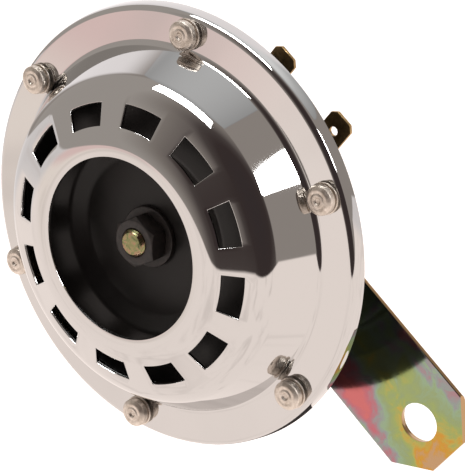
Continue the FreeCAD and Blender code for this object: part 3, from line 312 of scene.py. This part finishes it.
chrome = make_chrome()
nickel = make_nickel()
black_enamel = make_black_enamel()
black_oxide = make_black_oxide()
yellow_zinc = make_yellow_zinc("yellow_passivated_zinc", 5.0, [
    "#8FA07C", "#B9A66A", "#C9A24E", "#C28A6E", "#8E9C93"])
aged_zinc = make_yellow_zinc("aged_passivated_zinc", 1.6, [
    "#4E5240", "#767A56", "#8C8A62", "#A5826C", "#6E6A58"])
strap_zinc = make_strap_zinc()
brass = make_brass()
turned_steel = make_steel("turned_bright_steel", "#7C7B79", "#A9A8A6", 0.32)
spring_steel = make_steel("rolled_spring_steel", "#6B6B6C", "#8F8F90", 0.25)
contact_metal = make_steel("ground_contact_metal", "#8E8E90", "#B9B9BA", 0.3)
gasket_board = make_dull("pressed_gasket_board", "#6B5943", "#84705A", 0.85, 0.3, 0.03)
bobbin_plastic = make_dull("moulded_bobbin_nylon", "#A2977C", "#B6AB90", 0.5, 0.8, 0.01)
insulator_board = make_dull("brown_paper_laminate", "#4A2A17", "#643C22", 0.55, 0.4, 0.02)
black_moulding = make_dull("black_phenolic_moulding", "#101010", "#1B1A19", 0.45, 0.5, 0.015)
copper_wire = make_winding()

KEPT_LOOKS = {
    "front_gasket": gasket_board, "rear_gasket": gasket_board, "diaphragm": spring_steel,
    "disc_spacer": turned_steel, "diaphragm_washer": turned_steel,
    "coil_bobbin": bobbin_plastic, "coil_winding": copper_wire,
    "breaker_rear_insulator": insulator_board, "breaker_middle_insulator": insulator_board,
    "breaker_front_insulator": insulator_board, "breaker_spring": spring_steel,
    "fixed_contact_arm": brass, "moving_contact": contact_metal,
    "fixed_contact": contact_metal, "push_pad": insulator_board, "breaker_rivets": nickel,
    "adjusting_screw_tip": insulator_board, "adjuster_bush": brass,
    "terminal_block": black_moulding, "terminal_block_rivets": nickel,
    "housing": black_enamel,
}
for node_name, look in KEPT_LOOKS.items():
    node_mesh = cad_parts[node_name].data
    node_mesh.materials.clear()
    node_mesh.materials.append(look)


# Modelling helpers.

def begin(name, add, **settings):
    """Adds a primitive with nothing else selected, and names it."""
    if bpy.context.object and bpy.context.object.mode != "OBJECT":
        bpy.ops.object.mode_set(mode="OBJECT")
    bpy.ops.object.select_all(action="DESELECT")
    add(**settings)
    piece = bpy.context.object
    piece.name = name
    piece.data.name = name
    return piece


def add_block(name, centre, size, turn=0.0):
    """A box given by its centre and size, turned round Z by some degrees."""
    piece = begin(name, bpy.ops.mesh.primitive_cube_add, size=1.0,
                  location=Vector(centre) * MM, rotation=(0, 0, math.radians(turn)),
                  scale=Vector(size) * MM)
    bpy.ops.object.transform_apply(location=True, rotation=True, scale=True)
    return piece


def choose(piece):
    """Makes a piece the only selected one."""
    bpy.ops.object.select_all(action="DESELECT")
    bpy.context.view_layer.objects.active = piece
    piece.select_set(True)


def edit(piece):
    """Opens a piece in edit mode with nothing selected."""
    choose(piece)
    bpy.ops.object.mode_set(mode="EDIT")
    bpy.ops.mesh.select_all(action="DESELECT")


def pick(piece, test, what):
    """Selects the edges or faces whose middle passes the test, in edit mode."""
    bpy.ops.mesh.select_mode(type=what)
    mesh = bmesh.from_edit_mesh(piece.data)
    for item in mesh.edges if what == "EDGE" else mesh.faces:
        middle = sum((corner.co for corner in item.verts), Vector()) / len(item.verts)
        item.select_set(test(middle))
    mesh.select_flush_mode()
    bmesh.update_edit_mesh(piece.data)


def finish_with(piece, kind, **settings):
    """Adds a modifier and applies it."""
    choose(piece)
    bpy.ops.object.modifier_add(type=kind)
    modifier = piece.modifiers[-1]
    for name, setting in settings.items():
        setattr(modifier, name, setting)
    bpy.ops.object.modifier_apply(modifier=modifier.name)


def smooth(piece, angle=35):
    """Shades a piece smooth across edges that turn by less than the angle."""
    choose(piece)
    bpy.ops.object.shade_smooth_by_angle(angle=math.radians(angle))


def round_corners(corners):
    """The points of a line through (across, along, bend radius), its bends as arcs."""
    points = [Vector(corners[0][:2])]
    for before, here, after in zip(corners, corners[1:], corners[2:]):
        corner, radius = Vector(here[:2]), here[2]
        first = (corner - Vector(before[:2])).normalized()
        second = (Vector(after[:2]) - corner).normalized()
        turn = math.atan2(first.x * second.y - first.y * second.x, first.dot(second))
        if radius == 0 or abs(turn) < 0.001:
            points.append(corner)
            continue
        start = corner - first * radius * math.tan(abs(turn) / 2)
        side = math.copysign(1, turn)
        centre = start + Vector((-first.y, first.x)) * radius * side
        count = max(3, math.ceil(abs(turn) / math.radians(6)))
        for step in range(count + 1):
            arm = start - centre
            arm.rotate(Matrix.Rotation(turn * step / count, 2))
            points.append(centre + arm)
    points.append(Vector(corners[-1][:2]))
    return points


def draw_line(name, points):
    """One vertex, extruded from point to point in the XZ plane. Leaves it in edit mode."""
    piece = begin(name, bpy.ops.mesh.primitive_plane_add, size=MM)
    edit(piece)
    bpy.ops.mesh.select_all(action="SELECT")
    bpy.ops.mesh.merge(type="CENTER")
    bpy.ops.mesh.select_mode(type="VERT")
    bpy.ops.mesh.select_all(action="SELECT")
    bpy.ops.transform.translate(value=(points[0][0] * MM, 0, points[0][1] * MM))
    for before, after in zip(points, points[1:]):
        step = ((after[0] - before[0]) * MM, 0, (after[1] - before[1]) * MM)
        bpy.ops.mesh.extrude_region_move(TRANSFORM_OT_translate={"value": step})
    return piece


def tidy_mesh():
    """Merges the open mesh's doubles, turns its faces outwards and leaves edit mode."""
    bpy.ops.mesh.select_all(action="SELECT")
    bpy.ops.mesh.remove_doubles(threshold=0.002 * MM)
    bpy.ops.mesh.select_all(action="SELECT")
    bpy.ops.mesh.normals_make_consistent(inside=False)
    bpy.ops.object.mode_set(mode="OBJECT")


def turn_round(name, corners, steps=96):
    """A turned piece: an outline of (radius, level, bend radius), spun round the Z axis."""
    piece = draw_line(name, round_corners(corners))
    bpy.ops.mesh.select_all(action="SELECT")
    bpy.ops.mesh.spin(steps=steps, angle=2 * math.pi, center=(0, 0, 0), axis=(0, 0, 1))
    tidy_mesh()
    return piece


def put(piece, place, look, body, *nodes, slot=None):
    """Places a finished piece, gives it its material and joins it to the model."""
    piece.data.transform(place)
    piece.data.materials.clear()
    piece.data.materials.append(look)
    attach(piece, body)
    if nodes:
        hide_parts(*nodes)


def combine(piece, other, operation):
    """Cuts a piece with another one, or keeps what both share. The other is then gone."""
    finish_with(piece, "BOOLEAN", operation=operation, object=other, solver="EXACT")
    bpy.data.objects.remove(other)


def soften(piece, width_mm, angle=30):
    """Breaks a piece's sharp edges and shades it smooth between them."""
    finish_with(piece, "BEVEL", width=width_mm * MM, segments=2, limit_method="ANGLE",
                angle_limit=math.radians(angle))
    smooth(piece)


def copies_round(piece, count, radius_mm):
    """Moves a piece out to a circle and returns it with its copies, each with its own mesh."""
    piece.data.transform(Matrix.Translation((0, radius_mm * MM, 0)))
    pieces = [piece]
    for number in range(1, count):
        other = piece.copy()
        other.data = piece.data.copy()
        other.name = f"{piece.name}_{number + 1}"
        bpy.context.collection.objects.link(other)
        other.data.transform(Matrix.Rotation(2 * math.pi * number / count, 4, "Z"))
        pieces.append(other)
    piece.name = f"{piece.name}_1"
    return pieces


# The front cover.

def split_at(points, radius):
    """Adds a point where the line reaches a radius, and returns the line."""
    for number, (before, after) in enumerate(zip(points, points[1:])):
        if before.x < radius < after.x:
            share = (radius - before.x) / (after.x - before.x)
            return points[:number + 1] + [before.lerp(after, share)] + points[number + 1:]
    return points


def make_cover():
    """One slot's pitch of spun sheet, slotted, then copied round and given its gauge. The
    outline runs over hole, land, shoulder, foot, rim corner and rim edge."""
    outline = round_corners([
        (19.85, 14.95, 0), (23.85, 14.63, 11.0), (35.2, 10.2, 7.0), (40.9, 0.0, 1.5),
        (48.9, 0.0, 1.4), (RIM_RADIUS, -RIM_DEPTH, 0)])
    for radius in (SLOT_INNER, SLOT_OUTER):
        outline = split_at(outline, radius)
    piece = draw_line("cover_shell", outline)
    bpy.ops.mesh.select_all(action="SELECT")
    bpy.ops.transform.rotate(value=-math.radians(SLOT_HALF_ANGLE), orient_axis="Z",
                             center_override=(0, 0, 0))
    pitch = 360 / SLOT_COUNT
    for steps, angle in ((10, 2 * SLOT_HALF_ANGLE), (7, pitch - 2 * SLOT_HALF_ANGLE)):
        bpy.ops.mesh.spin(steps=steps, angle=math.radians(angle), center=(0, 0, 0),
                          axis=(0, 0, 1))

    def in_slot(middle):
        reach = math.hypot(middle.x, middle.y) / MM
        turn = math.degrees(math.atan2(middle.y, middle.x))
        return SLOT_INNER < reach < SLOT_OUTER and abs(turn) < SLOT_HALF_ANGLE

    pick(piece, in_slot, "FACE")
    bpy.ops.mesh.delete(type="FACE")
    bpy.ops.mesh.select_all(action="SELECT")
    bpy.ops.mesh.spin(steps=SLOT_COUNT - 1, dupli=True, center=(0, 0, 0), axis=(0, 0, 1),
                      angle=math.radians(pitch * (SLOT_COUNT - 1)))
    tidy_mesh()
    finish_with(piece, "SOLIDIFY", thickness=COVER_GAUGE * MM, offset=-1.0,
                use_even_offset=True)
    soften(piece, 0.14, 50)
    return piece


put(make_cover(), HORN_PLACE, chrome, "horn", "front_cover", slot="bright_chrome")


# Rim rivets and their washers.

def make_rivet():
    """A rivet set in a cupped tool: round head on a groove, small raised ring on its face."""
    piece = turn_round("rivet", [
        (0, 2.8, 0), (0.5, 2.8, 0.2), (0.85, 3.18, 0.1), (1.25, 3.18, 0.15),
        (1.6, 3.02, 0.15), (2.3, 3.1, 0.7), (3.15, 2.55, 0.5), (3.15, 1.25, 0.12),
        (2.65, 1.25, 0.1), (2.65, 0.9, 0), (1.6, 0.9, 0), (1.6, -3.4, 0), (2.2, -3.4, 0.12),
        (2.2, -5.2, 0.6), (0, -5.2, 0)], 40)
    smooth(piece, 40)
    return piece


def make_rivet_washer():
    """Cupped washer that flares under the rivet's head."""
    piece = turn_round("rivet_washer", [
        (1.7, 0, 0), (2.0, 0, 0.1), (3.4, 0.5, 0.12), (3.4, 0.9, 0.22), (1.7, 0.9, 0),
        (1.7, 0, 0)], 48)
    smooth(piece, 40)
    return piece


for part in copies_round(make_rivet(), RIVET_COUNT, RIVET_CIRCLE):
    put(part, HORN_PLACE, nickel, "horn", "rim_rivets", slot="nickel_plate")
for part in copies_round(make_rivet_washer(), RIVET_COUNT, RIVET_CIRCLE):
    put(part, HORN_PLACE, nickel, "horn", "rim_rivet_washers", slot="nickel_plate")


# The tone disc and what clamps it.

def make_tone_plate():
    """Pressed sheet disc, dished in the middle, with a rounded rim."""
    piece = turn_round("tone_plate", [
        (3.1, 4.2, 0.15), (18.0, 4.2, 2.6), (21.2, 6.4, 2.6), (34.5, 6.4, 0.3),
        (34.5, 4.9, 0.3), (21.9, 4.9, 1.1), (18.7, 2.7, 4.1), (3.1, 2.7, 0.15),
        (3.1, 4.2, 0)], 144)
    smooth(piece)
    return piece


def make_tone_washer():
    """Plain flat washer with rounded edges."""
    piece = turn_round("tone_washer", [
        (3.2, 4.2, 0), (6.75, 4.2, 0.2), (6.75, 5.4, 0.25), (3.2, 5.4, 0.1), (3.2, 4.2, 0)], 72)
    smooth(piece)
    return piece


def make_nut(name, flats, low, high, hole, turn):
    """A hexagon nut: six flats cut by a 30 degree chamfer at both ends, and a sunk hole."""
    corner = flats / math.sqrt(3)
    piece = begin(name, bpy.ops.mesh.primitive_cylinder_add, vertices=6, radius=corner * MM,
                  depth=(high - low) * MM, location=(0, 0, (high + low) / 2 * MM),
                  rotation=(0, 0, math.radians(turn)))
    bpy.ops.object.transform_apply(location=True, rotation=True, scale=True)
    face, clear = 0.48 * flats, corner + 0.2
    drop = (clear - face) * math.tan(math.radians(30))
    barrel = turn_round("barrel", [
        (0, low, 0), (face, low, 0), (clear, low + drop, 0), (clear, high - drop, 0),
        (face, high, 0), (0, high, 0)], 96)
    combine(piece, barrel, "INTERSECT")
    sink, past = 0.4, 1.0
    mouth = hole + sink + past
    drill = turn_round("drill", [
        (0, low - past, 0), (mouth, low - past, 0), (hole, low + sink, 0),
        (hole, high - sink, 0), (mouth, high + past, 0), (0, high + past, 0)], 64)
    combine(piece, drill, "DIFFERENCE")
    soften(piece, 0.1, 20)
    return piece


def make_thread(name, radius, pitch, low, high, chamfer):
    """A screwed rod end: one turn of thread wound up the rod, cut off flat and chamfered."""
    root, crest = radius - 0.55 * pitch, radius - 0.05 * pitch
    outline = [(root, low - 2 * pitch), (crest, low - 1.56 * pitch),
               (crest, low - 1.44 * pitch), (root, low - pitch)]
    piece = draw_line(name, [Vector(point) for point in outline])
    bpy.ops.object.mode_set(mode="OBJECT")
    turns = math.ceil((high - low) / pitch) + 4
    finish_with(piece, "SCREW", angle=2 * math.pi, screw_offset=pitch * MM, axis="Z",
                iterations=turns, steps=36, render_steps=36, use_merge_vertices=True,
                merge_threshold=0.002 * MM)
    edit(piece)
    past = 0.61 * pitch
    for level, upward in ((low - past, False), (high + past, True)):
        bpy.ops.mesh.select_all(action="SELECT")
        bpy.ops.mesh.bisect(plane_co=(0, 0, level * MM), plane_no=(0, 0, 1), use_fill=True,
                            clear_inner=not upward, clear_outer=upward)
    tidy_mesh()
    clear = 0.1
    barrel = turn_round("barrel", [
        (0, low, 0), (radius + clear, low, 0), (radius + clear, high - chamfer - clear, 0),
        (radius - chamfer, high, 0.1), (0, high, 0)], 72)
    combine(piece, barrel, "INTERSECT")
    smooth(piece, 30)
    return piece


put(make_tone_plate(), HORN_PLACE, black_enamel, "armature", "tone_disc", slot="black_enamel")
put(make_tone_washer(), HORN_PLACE, black_oxide, "armature", "disc_washer", slot="black_oxide")
put(make_nut("tone_nut", 10.0, 5.4, 9.9, 2.9, 6.5), HORN_PLACE, black_oxide, "armature",
    "disc_nut", slot="black_oxide")


# The armature and the fixed pole core.

def make_plunger():
    """Armature: front stud, clamping collar and the plunger behind it."""
    piece = turn_round("plunger", [
        (0, 6.0, 0), (3.0, 6.0, 0), (3.0, -1.3, 0), (3.0, -2.7, 0), (10.5, -2.7, 0.3),
        (10.5, -5.1, 0.5), (7.0, -5.1, 0.3), (7.0, -13.0, 0.4), (0, -13.0, 0)], 80)
    smooth(piece)
    return piece


def make_pole_piece():
    """Fixed core with its neck through the housing's back."""
    piece = turn_round("pole_piece", [
        (0, -13.9, 0), (7.0, -13.9, 0.4), (7.0, -24.7, 0), (4.0, -24.7, 0), (4.0, -28.4, 0),
        (0, -28.4, 0)], 80)
    smooth(piece)
    return piece


put(make_plunger(), HORN_PLACE, yellow_zinc, "armature", "armature", slot="yellow_zinc")
put(make_thread("tone_stud", 3.0, 1.0, 5.8, 10.8, 0.6), HORN_PLACE, aged_zinc, "armature",
    "armature", slot="yellow_zinc")
put(make_pole_piece(), HORN_PLACE, yellow_zinc, "horn", "pole_core", slot="bare_steel")
TURNED_BACK = Matrix.Rotation(math.pi, 4, "X")
put(make_thread("mounting_stud", 4.0, 1.25, 28.2, 37.9, 0.8), HORN_PLACE @ TURNED_BACK,
    yellow_zinc, "horn", "pole_core", slot="bare_steel")


# The strap bracket and what holds it.

def make_strap():
    """Flat strap, its long edges rolled round at the back: one end sheared at its corners,
    the other nibbled to a half circle. The punched holes break out wider at the back."""
    half, top, clip = 13.2, 9.7, 7.7
    foot, middle = -HOLE_REACH - 12.8, -STRAP_GAUGE / 2
    piece = add_block("strap", (0, middle, (top + foot) / 2),
                      (2 * half, STRAP_GAUGE, top - foot))
    edit(piece)
    for level, rounding in ((-STRAP_GAUGE, 0.25), (0.0, 1.5)):
        pick(piece, lambda spot: abs(spot.x) > 0.99 * half * MM
             and abs(spot.z - (top + foot) / 2 * MM) < 0.1 * MM
             and abs(spot.y - level * MM) < 0.1 * MM, "EDGE")
        bpy.ops.mesh.bevel(offset=rounding * MM, segments=6)
    cuts = [(Vector((side * (half - clip / 2), 0, top - clip / 2)),
             Vector((side, 0, 1)).normalized()) for side in (1, -1)]
    for number in range(1, 24):
        turn = math.radians(180 + 7.5 * number)
        way = Vector((math.cos(turn), 0, math.sin(turn)))
        cuts.append((Vector((0, 0, -HOLE_REACH)) + way * half, way))
    for spot, way in cuts:
        bpy.ops.mesh.select_all(action="SELECT")
        bpy.ops.mesh.bisect(plane_co=spot * MM, plane_no=way, use_fill=True, clear_outer=True)
    tidy_mesh()
    breakout, past = 0.4, 1.0
    for level, radius in ((0.0, 4.5), (-HOLE_REACH, 4.2)):
        punch = turn_round("punch", [
            (0, -past, 0), (radius + breakout, -past, 0), (radius + breakout, 0.3, 0),
            (radius, 1.4, 0.6), (radius, STRAP_GAUGE + past, 0), (0, STRAP_GAUGE + past, 0)],
            96)
        punch.data.transform(Matrix.Translation((0, 0, level * MM))
                             @ Matrix.Rotation(math.radians(90), 4, "X"))
        combine(piece, punch, "DIFFERENCE")
    soften(piece, 0.12, 35)
    finish_with(piece, "WEIGHTED_NORMAL", mode="FACE_AREA", weight=100, keep_sharp=True)
    return piece


def make_spring_ring():
    """Split lock washer: a square-section ring with a gap sawn through it."""
    piece = turn_round("spring_ring", [
        (4.2, 0.0, 0), (6.9, 0.0, 0.15), (6.9, 1.8, 0.15), (4.2, 1.8, 0.1), (4.2, 0.0, 0)], 72)
    combine(piece, add_block("saw", (5.6, 0, 0.9), (6.0, 1.2, 4.0)), "DIFFERENCE")
    soften(piece, 0.08)
    return piece


STRAP_PLACE = Matrix.Translation((0, 0, -HOLE_REACH * MM)) @ Matrix.Rotation(
    math.radians(-90), 4, "X")
put(make_strap(), Matrix.Identity(4), strap_zinc, "horn", "bracket", slot="yellow_zinc")
put(make_spring_ring(), STRAP_PLACE, yellow_zinc, "horn", "bracket_lock_washer",
    slot="yellow_zinc")
put(make_nut("strap_nut", 13.0, 1.8, 8.3, 3.9, 11.0), STRAP_PLACE, yellow_zinc, "horn",
    "bracket_nut", slot="yellow_zinc")


# Terminal blades.

def make_blade(name, middle):
    """Push-on blade: sheet with clipped, thinned tip and a small locking hole."""
    tip, tail, level, width, gauge = -42.1, -19.4, -9.4, 6.3, 0.8
    piece = add_block(name, ((tip + tail) / 2, level, middle), (tail - tip, gauge, width))
    edit(piece)

    def at_tip(spot, corner):
        aside, along = abs(spot.y / MM - level), abs(spot.z / MM - middle)
        inside = (aside < 0.1 and along > 0.4 * width if corner
                  else aside > 0.3 and along < 0.1 * width)
        return spot.x / MM < tip + 0.1 and inside

    for corner, cut in ((True, 1.3), (False, 0.22)):
        pick(piece, lambda spot: at_tip(spot, corner), "EDGE")
        bpy.ops.mesh.bevel(offset=cut * MM, segments=1)
    bpy.ops.object.mode_set(mode="OBJECT")
    drill = begin("drill", bpy.ops.mesh.primitive_cylinder_add, vertices=40, radius=1.0 * MM,
                  depth=3 * MM, location=(-38.0 * MM, level * MM, middle * MM),
                  rotation=(math.radians(90), 0, 0))
    bpy.ops.object.transform_apply(location=True, rotation=True, scale=True)
    combine(piece, drill, "DIFFERENCE")
    soften(piece, 0.07, 35)
    return piece


for blade_name, middle, node in (("coil_blade", -73.7, "coil_terminal"),
                                 ("breaker_blade", -55.1, "breaker_terminal")):
    put(make_blade(blade_name, middle), Matrix.Identity(4), brass, "horn", node,
        slot="blade_brass")


# The adjusting screw and its lock nut.

SCREW_PLACE = HORN_PLACE @ Matrix.Translation((-21.5 * MM, 0, 0)) @ TURNED_BACK


def make_adjuster():
    """Threaded rod with a driver slot sawn in its outer end."""
    end = 31.5
    piece = make_thread("adjuster", 2.0, 0.7, 7.4, end, 0.4)
    combine(piece, add_block("saw", (0, 0, end), (6.0, 0.8, 2.2), 35), "DIFFERENCE")
    smooth(piece, 30)
    return piece


put(make_adjuster(), SCREW_PLACE, yellow_zinc, "horn", "adjusting_screw", slot="yellow_zinc")
put(make_nut("adjuster_nut", 7.0, 25.9, 28.3, 1.9, 0.0), SCREW_PLACE, yellow_zinc, "horn",
    "adjuster_lock_nut", slot="yellow_zinc")


# Camera, floor and light.

# The camera fitted to the photograph: its axes, the point it turns round and its distance.
RIGHT = Vector((-0.50026221, 0.6109382, 0.61358963))
UP = Vector((-0.61120493, 0.25279118, -0.75001677))
BACK = Vector((-0.61332394, -0.75023405, 0.24694657))
TARGET = Vector((0, -0.00862, -0.0644))
CAMERA_DISTANCE = 0.398771
FOCAL_LENGTH = 136.26
FRAMING_SHIFT = (0.03032, -0.05956)

FLOOR_LEVEL = -0.3
WINDOW_DISTANCE = 1.5


def towards(along, height):
    """The direction that lies some degrees right of the camera and some above it, as seen
    from the horn."""
    turn, rise = math.radians(along), math.radians(height)
    return (RIGHT * math.sin(turn) * math.cos(rise) + BACK * math.cos(turn) * math.cos(rise)
            + UP * math.sin(rise))


def place_camera():
    """The photograph's view, everything in focus."""
    data = bpy.data.cameras.new("photo_camera")
    data.lens = FOCAL_LENGTH
    data.shift_x, data.shift_y = FRAMING_SHIFT
    data.clip_start = 0.02
    data.clip_end = 80
    camera = bpy.data.objects.new("photo_camera", data)
    turn = Matrix((RIGHT, UP, BACK)).transposed().to_4x4()
    camera.matrix_world = Matrix.Translation(TARGET + BACK * CAMERA_DISTANCE) @ turn
    bpy.context.collection.objects.link(camera)
    bpy.context.scene.camera = camera


def make_floor():
    """A plain white studio floor, well under the horn and out of the chrome's reflections."""
    floor = begin("floor", bpy.ops.mesh.primitive_plane_add, size=40,
                  location=(0, 0, FLOOR_LEVEL))
    material, tree, place = new_material("white_paper_floor", {
        "Roughness": 0.9, "Emission Color": grey(1.0), "Emission Strength": 0.45})
    grain = add_node(tree, "ShaderNodeTexNoise", across(60.0), {"Vector": place})
    feed(tree, {"Base Color": add_node(tree, "ShaderNodeValToRGB", links={"Fac": grain}, stops=[
        (0.3, grey(0.9)), (0.7, grey(0.92))])})
    floor.data.materials.append(material)
    floor.visible_glossy = False


def make_backdrop():
    """A plain pale dome that only the camera sees, behind all that the floor leaves open."""
    dome = begin("backdrop", bpy.ops.mesh.primitive_uv_sphere_add, segments=48, ring_count=24,
                 radius=18)
    material, tree, place = new_material("white_studio_wall", {
        "Base Color": grey(0.0), "Roughness": 1.0, "Emission Strength": 1.0})
    clouds = add_node(tree, "ShaderNodeTexNoise", across(4000.0), {"Vector": place})
    feed(tree, {"Emission Color": add_node(
        tree, "ShaderNodeValToRGB", links={"Fac": clouds}, stops=[
            (0.3, grey(0.93)), (0.7, grey(0.96))])})
    dome.data.materials.append(material)
    dome.visible_glossy = False
    dome.visible_diffuse = False
    dome.visible_shadow = False
    smooth(dome)


def make_black_card():
    """A black card behind the rim, a sector of a ring, seen in reflections alone: painted
    shadow. In the strap's reflection it stands for the horn's own shadow on the table; its
    faint warm glow is painted dim light from that shaded table."""
    inner, outer, level = 45.0, 52.6, -3.6
    sector, first = 42, 88
    card = draw_line("black_card", [Vector((inner, level)), Vector((outer, level))])
    bpy.ops.mesh.select_all(action="SELECT")
    bpy.ops.mesh.spin(steps=24, angle=math.radians(sector), center=(0, 0, 0), axis=(0, 0, 1))
    tidy_mesh()
    card.data.transform(HORN_PLACE @ Matrix.Rotation(math.radians(first), 4, "Z"))
    # Painted shadow: a near-black colour with a faint warm glow, standing for the shaded table
    # seen in reflections.
    material, tree, place = new_material("painted_shadow_card", {
        "Roughness": 1.0, "Emission Color": linear("#FFE8E0"), "Emission Strength": 0.035})
    shadow_mottle = add_node(tree, "ShaderNodeTexNoise", across(3.0), {"Vector": place})
    feed(tree, {"Base Color": add_node(tree, "ShaderNodeValToRGB", links={"Fac": shadow_mottle}, stops=[
        (0.3, grey(0.002)), (0.7, grey(0.004))])})
    card.data.materials.append(material)
    card.visible_camera = False
    card.visible_diffuse = False
    card.visible_shadow = False


def make_world():
    """The studio round the horn: a warm pale table below, with soft darker patches, grey
    walls and a dark camera side above it, a pale ceiling and a white backdrop."""
    world = bpy.data.worlds.new("studio")
    world.use_nodes = True
    bpy.context.scene.world = world
    tree = world.node_tree
    direction = add_node(tree, "ShaderNodeTexCoord").outputs["Generated"]

    # How far each direction lies along some axes. The table ends where over_table or the
    # height above the sill passes zero.
    table_up = (UP + BACK * 0.8 - RIGHT * 0.0875).normalized()
    right_wall = RIGHT * 0.74 + UP * 0.246 - BACK * 0.626
    over_table, to_camera, to_wall, to_ceiling, to_backdrop, rise, to_right = (
        add_node(tree, "ShaderNodeVectorMath", {1: axis}, {0: direction},
                 operation="DOT_PRODUCT").outputs["Value"]
        for axis in (table_up, towards(-3, -8), right_wall, UP + RIGHT * 0.25,
                     (UP - BACK) * 0.7, UP, RIGHT))
    above_sill = add_node(tree, "ShaderNodeMath", {1: 0.158}, {0: rise}, operation="SUBTRACT")
    off_table = add_node(tree, "ShaderNodeMath", links={0: over_table, 1: above_sill},
                         operation="MAXIMUM")
    clutter = add_node(tree, "ShaderNodeTexNoise", {
        "Scale": 2.6, "Detail": 3.0, "Roughness": 0.55, "Distortion": 1.5},
        {"Vector": direction})

    # Soft edges between the zones: what is measured, where the change starts and ends, and
    # how far it goes.
    far_table, right_half, horizon, patches, wall, backdrop, off_table = (
        add_node(tree, "ShaderNodeMapRange", {"From Min": low, "From Max": high, "To Max": top},
                 {"Value": value}, interpolation_type="SMOOTHSTEP")
        for value, low, high, top in (
            (over_table, -0.13, -0.05, 1.0), (to_right, -0.975, -0.90, 1.0),
            (rise, -0.12, 0.02, 1.0), (clutter, 0.5, 0.72, 0.45), (to_wall, -0.10, -0.04, 1.0),
            (to_backdrop, 0.72, 0.84, 1.0), (off_table, -0.012, 0.012, 1.0)))
    table, room, ceiling = (
        add_node(tree, "ShaderNodeValToRGB", links={"Fac": value}, stops=[
            (position, linear(shade)) for position, shade in stops])
        for value, stops in (
            (far_table, [(0.0, "#DACFC7"), (1.0, "#CFB6B2")]),
            (to_camera, [(0.30, "#938D88"), (0.54, "#746D68"), (0.66, "#5E5754"),
                         (0.74, "#443D3B"), (0.85, "#342C2B"), (1.0, "#322B2B")]),
            (to_ceiling, [(0.80, "#000000"), (0.82, "#8E8E8E"), (0.90, "#A3A3A3"),
                          (0.93, "#AAAAAA"), (1.0, "#CBCBCB")])))

    # Each layer is painted over the table's or the room's layers before it.
    zones = {"table": table, "room": room}
    for zone, values, links, blend_type in (
            ("table", {UPPER: linear("#DED3CD")}, {SHARE: right_half}, "MIX"),
            ("table", {UPPER: linear("#C6C1C0")}, {SHARE: horizon}, "MIX"),
            ("table", {UPPER: linear("#B3A9A4")}, {SHARE: patches}, "MIX"),
            ("room", {UPPER: linear("#857E79")}, {SHARE: wall}, "MIX"),
            ("room", {SHARE: 1.0}, {UPPER: ceiling}, "LIGHTEN"),
            ("room", {UPPER: linear("#D7D2D2")}, {SHARE: backdrop}, "MIX")):
        zones[zone] = add_node(tree, "ShaderNodeMix", values, {LOWER: zones[zone], **links},
                               data_type="RGBA", blend_type=blend_type).outputs[MIXED]
    studio = add_node(tree, "ShaderNodeMix", links={
        SHARE: off_table, LOWER: zones["table"], UPPER: zones["room"]}, data_type="RGBA")
    background = tree.nodes["Background"]
    background.inputs["Strength"].default_value = 1.75
    join(tree, studio.outputs[MIXED], background.inputs["Color"])


def add_window(name, lon, lat, tilt, width, height, power):
    """A soft window light seen at an angle from the camera's line, facing the horn. width
    and height are its sizes at one metre."""
    direction = towards(lon, lat)
    level = RIGHT * math.cos(math.radians(lon)) - BACK * math.sin(math.radians(lon))
    rise = direction.cross(level)
    data = bpy.data.lights.new(name, "AREA")
    data.shape = "RECTANGLE"
    data.size = width * WINDOW_DISTANCE
    data.size_y = height * WINDOW_DISTANCE
    data.energy = power
    window = bpy.data.objects.new(name, data)
    turn = Matrix((level, rise, direction)).transposed().to_4x4()
    window.matrix_world = (Matrix.Translation(TARGET + direction * WINDOW_DISTANCE) @ turn
                           @ Matrix.Rotation(math.radians(tilt), 4, "Z"))
    window.visible_camera = False
    bpy.context.collection.objects.link(window)


place_camera()
make_floor()
make_world()
make_backdrop()
make_black_card()
add_window("window_light", -32.3, 50.8, -21.0, 0.675, 0.34, 30)
add_window("far_window", 36.0, 18.5, 0.0, 0.15, 0.3, 6)

bpy.context.scene.view_settings.view_transform = "Standard"
